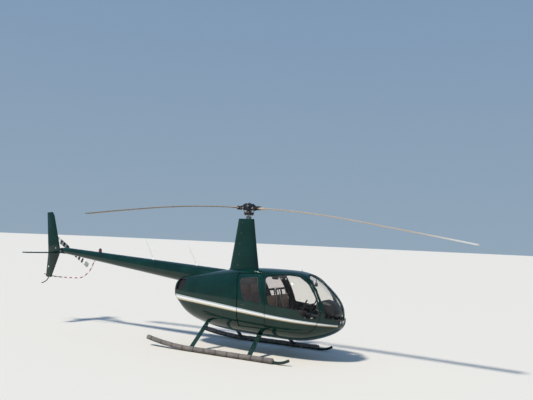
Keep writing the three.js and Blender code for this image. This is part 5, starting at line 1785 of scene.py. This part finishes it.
# Seat belts. Each front seat has a lap belt and a shoulder strap of pale woven webbing, which lie loose on
# the cushion and over the seat back, with a bright buckle tongue at the inner hip.
BELT = worn("pale_webbing", (0.42, 0.40, 0.36), 0.8, 0.0, 700.0, 0.15, 0.0006)
BELT_HALF_WIDTH = 0.022
BELT_HALF_THICK = 0.0016
for name, left in HANDS:
    belt = Piece(f"{name}_front_seat_belt", left)
    strap = [
        on_back(-0.070, 1.395, -0.060), on_back(-0.072, 1.414, 0.0), on_back(-0.074, 1.385, 0.036),
        on_back(-0.082, 1.260, 0.052), on_back(-0.110, 1.130, 0.060), on_back(-0.180, 0.975, 0.062),
        Vector((0.940, -0.215, 0.944)), Vector((1.010, -0.255, 0.947)),
    ]
    belt.add(pipe(smooth_route(strap, 5), BELT_HALF_WIDTH, 8, BELT_HALF_THICK), BELT)
    laps = (
        ((0.925, -0.496, 0.925), (0.985, -0.310, 0.950)),
        ((0.925, -0.040, 0.925), (0.990, -0.235, 0.950)),
    )
    for start, end in laps:
        start, end = Vector(start), Vector(end)
        middle = (start + end) / 2 + Vector((0.012, 0, 0.022))
        lap = smooth_route([start, middle, end], 6)
        belt.add(pipe(lap, BELT_HALF_WIDTH, 8, BELT_HALF_THICK), BELT)
    belt.add(block((0.968, 1.016), (-0.312, -0.262), (0.945, 0.958), 0.004), CHROME)
    belt.done("airframe")


# Instrument console. A black moulded pedestal stands between the front footwells and carries a hooded panel
# of round dials that reaches to the nose; below the dials is a stack of plain radio faces with knobs.
PEDESTAL = [(1.8005, 0.5908), (2.080, 0.5908), (2.100, 1.008), (1.8505, 1.008)]
PEDESTAL_HALF = 0.1145
HOOD_HALF = 0.203
HOOD_SQUARENESS = 0.30
# x, underside, top
HOOD = (
    (1.8425, 1.002, 1.196), (1.862, 0.998, 1.206), (1.920, 0.979, 1.228), (1.985, 0.962, 1.252),
    (2.080, 0.937, 1.229), (2.180, 0.9265, 1.202), (2.245, 0.9265, 1.117), (2.272, 0.9270, 1.050),
    (2.286, 0.960, 1.015),
)
DIAL = {"radius": 0.034, "columns": (-0.150, -0.050, 0.050, 0.150), "rows": (1.150, 1.062)}
CONSOLE_BLACK = worn("console_black", (0.016, 0.016, 0.018), 0.5, 0.0, 150.0, 0.35, 0.0007)
DIAL_FACE = worn("dial_face", (0.008, 0.008, 0.009), 0.25, 0.0, 90.0, 0.2, 0.0001)
DIAL_MARK = worn("dial_mark", (0.72, 0.72, 0.68), 0.5, 0.0, 90.0, 0.1, 0.0001)
console = Piece("instrument_console_and_hood")
console.add(shape(PEDESTAL, (-PEDESTAL_HALF, PEDESTAL_HALF), 0.012), CONSOLE_BLACK)


def hood_corner(ring, angle):
    x, low, high = ring
    middle = (low + high) / 2
    half = min(HOOD_HALF, pod_half_width(x, middle, SKIN + 0.012))
    side, up = math.cos(angle), math.sin(angle)
    y = math.copysign(abs(side) ** HOOD_SQUARENESS, side) * half
    return Vector((x, y, middle + math.copysign(abs(up) ** HOOD_SQUARENESS, up) * (high - low) / 2))


console.add(loft(HOOD, 64, hood_corner), CONSOLE_BLACK)
for place_z in DIAL["rows"]:
    for place_y in DIAL["columns"]:
        face = Vector((1.8425, place_y, place_z))
        back = Vector((-1, 0, 0))
        console.add(rod(face, face + back * 0.005, DIAL["radius"] + 0.005, sides=32, bevel=0.002), SEAL)
        console.add(rod(face + back * 0.004, face + back * 0.0056, DIAL["radius"], sides=32), DIAL_FACE)
        for mark in range(12):
            angle = math.tau * mark / 12
            spoke = Vector((0, math.sin(angle), math.cos(angle)))
            outer_end = face + back * 0.006 + spoke * DIAL["radius"] * 0.92
            inner_end = face + back * 0.006 + spoke * DIAL["radius"] * 0.76
            console.add(rod(inner_end, outer_end, 0.0009, sides=4), DIAL_MARK)
        turn = 2.1 + place_y * 9 + place_z * 3
        hand = face + back * 0.0062 + Vector((0, math.sin(turn), math.cos(turn))) * DIAL["radius"] * 0.7
        console.add(rod(face + back * 0.0062, hand, 0.0014, 0.0006, 6), DIAL_MARK)
for row in range(4):
    low = 0.760 + row * 0.058
    lean = 1.8005 + (low - 0.5908) * 0.12
    console.add(block((lean - 0.004, lean + 0.030), (-0.082, 0.082), (low, low + 0.050), 0.002), DIAL_FACE)
    for side in (-1, 1):
        knob = Vector((lean - 0.003, side * 0.066, low + 0.025))
        console.add(rod(knob, knob - Vector((0.014, 0, 0)), 0.009, 0.0075, 20, 0.001), CONSOLE_BLACK)
# Two thin pale lines run along each side of the hood, high at its front and low at its rear: painted
# highlights on its edges.
for side in (-1, 1):
    for start, end in (((1.995, 1.192), (2.150, 1.166)), ((1.850, 1.050), (2.075, 0.975))):
        edge = side * (HOOD_HALF - 0.0005)
        painted_highlight_line = [(start[0], edge, start[1]), (end[0], edge, end[1])]
        console.add(pipe(painted_highlight_line, 0.0035, 8), PALE_RIM_AND_PAINTED_HIGHLIGHT)
console.done("airframe", ["instrument_console"], "black_trim")


# Cyclic stick and pedals. The stick rises from a soft boot on the floor to a pivoted cross bar with a
# moulded grip at each end; each pilot has two pedals on bent tubes with bright worn pads.
BOOT = {"x": 1.660, "length": 0.054, "width": 0.044, "top": 0.030}
BAR = {"x": 1.608, "z": 1.125, "half": 0.250}
GRIP = ((1.528, 0.981), (1.657, 1.239))
stick = Piece("cyclic_stick_and_grips")
folds = []
for fold in range(5):
    share = fold / 4
    wide = 1 - share * 0.45
    folds += [(0.5908 + share * 0.042, wide), (0.5908 + share * 0.042 + 0.006, wide * 0.86)]


def boot_corner(ring, angle):
    z, wide = ring
    x = BOOT["x"] + BOOT["length"] * wide * math.cos(angle)
    return Vector((x, BOOT["width"] * wide * math.sin(angle), z))


stick.add(loft(folds, 32, boot_corner), RUBBER)
stick.add(rod((BOOT["x"], 0, 0.612), (BAR["x"], 0, BAR["z"]), 0.015, sides=24), HUB_GREY)
pivot = ((BAR["x"] - 0.012, 0, BAR["z"] - 0.045), (BAR["x"], 0, BAR["z"] + 0.008))
stick.add(rod(*pivot, 0.018, sides=24, bevel=0.003), HUB_GREY)
for half, radius, sides, bevel, look in (
    (BAR["half"], 0.0115, 20, 0.0, HUB_GREY), (0.030, 0.0128, 24, 0.002, STEEL),
):
    bar = ((BAR["x"], -half, BAR["z"]), (BAR["x"], half, BAR["z"]))
    stick.add(rod(*bar, radius, sides=sides, bevel=bevel), look)
for side in (-1, 1):
    low = Vector((GRIP[0][0], side * BAR["half"], GRIP[0][1]))
    high = Vector((GRIP[1][0], side * BAR["half"], GRIP[1][1]))
    shares = (0, 0.06, 0.30, 0.36, 0.45, 0.60, 0.72, 0.82, 0.92, 0.98, 1.0)
    route = [low + (high - low) * share for share in shares]
    sizes = [0.0155, 0.0165, 0.0150, 0.0100, 0.0100, 0.0115, 0.0160, 0.0145, 0.0160, 0.0150, 0.0110]
    stick.add(pipe(route, sizes, 20), RUBBER)
    button = high + (low - high) * 0.06 + Vector((-0.010, 0, 0.004))
    stick.add(rod(button, button + Vector((-0.006, 0, 0.002)), 0.005, sides=12), STEEL)
stick.done("airframe", ["cyclic_stick"], "dark_metal")
for name, left in HANDS:
    pedals = Piece(f"{name}_pedals", left)
    for place_y, pad_x in ((-0.330, 1.640), (-0.175, 1.745)):
        arm = [
            (pad_x + 0.10, place_y, FLOOR_TOP - 0.004), (pad_x + 0.09, place_y, 0.680),
            (pad_x + 0.045, place_y, 0.800), (pad_x, place_y, 0.848),
        ]
        pedals.add(pipe(smooth_route(arm, 6), 0.010, 14), HUB_GREY)
        pad = ((pad_x, place_y - 0.036, 0.855), (pad_x, place_y + 0.036, 0.855))
        pedals.add(rod(*pad, 0.020, sides=24, bevel=0.004), DIAL_MARK)
    pedals.done("airframe")


# Cabin fittings. A compass hangs from the windshield's centre post; the ceiling between the doors carries a
# dark fitting with two small bright lamps.
compass = Piece("compass")
compass.add(block((1.708, 1.764), (-0.030, 0.030), (1.508, 1.588), 0.012), CONSOLE_BLACK)
compass.add(rod((1.709, 0, 1.548), (1.7045, 0, 1.548), 0.024, sides=28, bevel=0.001), DIAL_FACE)
compass.add(block((1.726, 1.744), (-0.007, 0.007), (1.585, 1.668), 0.002), CONSOLE_BLACK)
compass.done("airframe")
overhead = Piece("overhead_fitting")
overhead.add(block((0.690, 0.870), (-0.090, 0.090), (1.640, 1.700), 0.014), CONSOLE_BLACK)
overhead.add(block((0.700, 0.830), (-0.070, 0.010), (1.596, 1.650), 0.016), CONSOLE_BLACK)
overhead.add(block((0.720, 0.860), (-0.030, 0.030), (1.690, 1.782), 0.006), CONSOLE_BLACK)
for lamp_x, lamp_y in ((0.905, -0.020), (0.990, 0.020)):
    socket = Vector((lamp_x, lamp_y, 1.640))
    overhead.add(rod(socket, socket - Vector((0, 0, 0.034)), 0.022, 0.018, 24, 0.003), CHROME)
    overhead.add(rod(socket, socket + Vector((0, 0, 0.140)), 0.010, sides=16), CONSOLE_BLACK)
overhead.done("airframe")


# Small outside fittings. Two fuel caps stand by the mast fairing's foot, an air thermometer leans back on
# the roof's front, and quarter-turn fasteners hold the cowls along their edges.
FASTENERS = (
    # x and height at the start and at the end of each row, and how many
    ((-0.640, 1.530), (-0.640, 0.640), 7), ((-0.700, 0.640), (-1.300, 0.760), 5),
    ((-0.740, 1.560), (-1.300, 1.480), 5), ((0.120, 1.300), (0.170, 0.680), 5),
)
for name, left in HANDS:
    small = Piece(f"{name}_caps_and_fasteners", left)
    for start, end, count in FASTENERS:
        for i in range(count):
            share = i / (count - 1)
            spot = pod_side(start[0] + (end[0] - start[0]) * share, start[1] + (end[1] - start[1]) * share)
            stud = (spot + Vector((0, 0.001, 0)), spot - Vector((0, 0.0015, 0)))
            small.add(rod(*stud, 0.0075, 0.006, 16), STEEL)
    cap = pod_side(0.482, 1.757)
    up = Vector((0, -0.35, 0.94))
    small.add(rod(cap - up * 0.010, cap + up * 0.004, 0.040, sides=32, bevel=0.003), SEAL)
    small.add(rod(cap, cap + up * 0.012, 0.030, sides=32, bevel=0.004), STEEL)
    latch = pod_side(0.609, 1.660)
    lock = (latch + Vector((0, 0.002, 0)), latch - Vector((0, 0.003, -0.001)))
    small.add(rod(*lock, 0.012, sides=20, bevel=0.001), STEEL)
    opening = pod_side(-0.056, 1.037)
    cover = (opening + Vector((0, 0.002, 0)), opening - Vector((0, 0.005, 0)))
    small.add(rod(*cover, 0.026, sides=28, bevel=0.003), RUBBER)
    small.done("airframe")
probe = Piece("air_thermometer")
probe.add(rod((1.437, -0.020, 1.760), (1.390, -0.020, 1.846), 0.007, 0.004, 16), SEAL)
probe.add(rod((1.440, -0.020, 1.756), (1.434, -0.020, 1.786), 0.016, 0.012, 24, 0.002), SEAL)
probe.add(rod((1.330, -0.045, 1.778), (1.330, -0.045, 1.787), 0.014, sides=24, bevel=0.002), CHROME)
probe.done("airframe")


corners = {"cad": [list(corner) for corner in cad_box]}
corners["visual"] = [list(corner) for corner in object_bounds()]
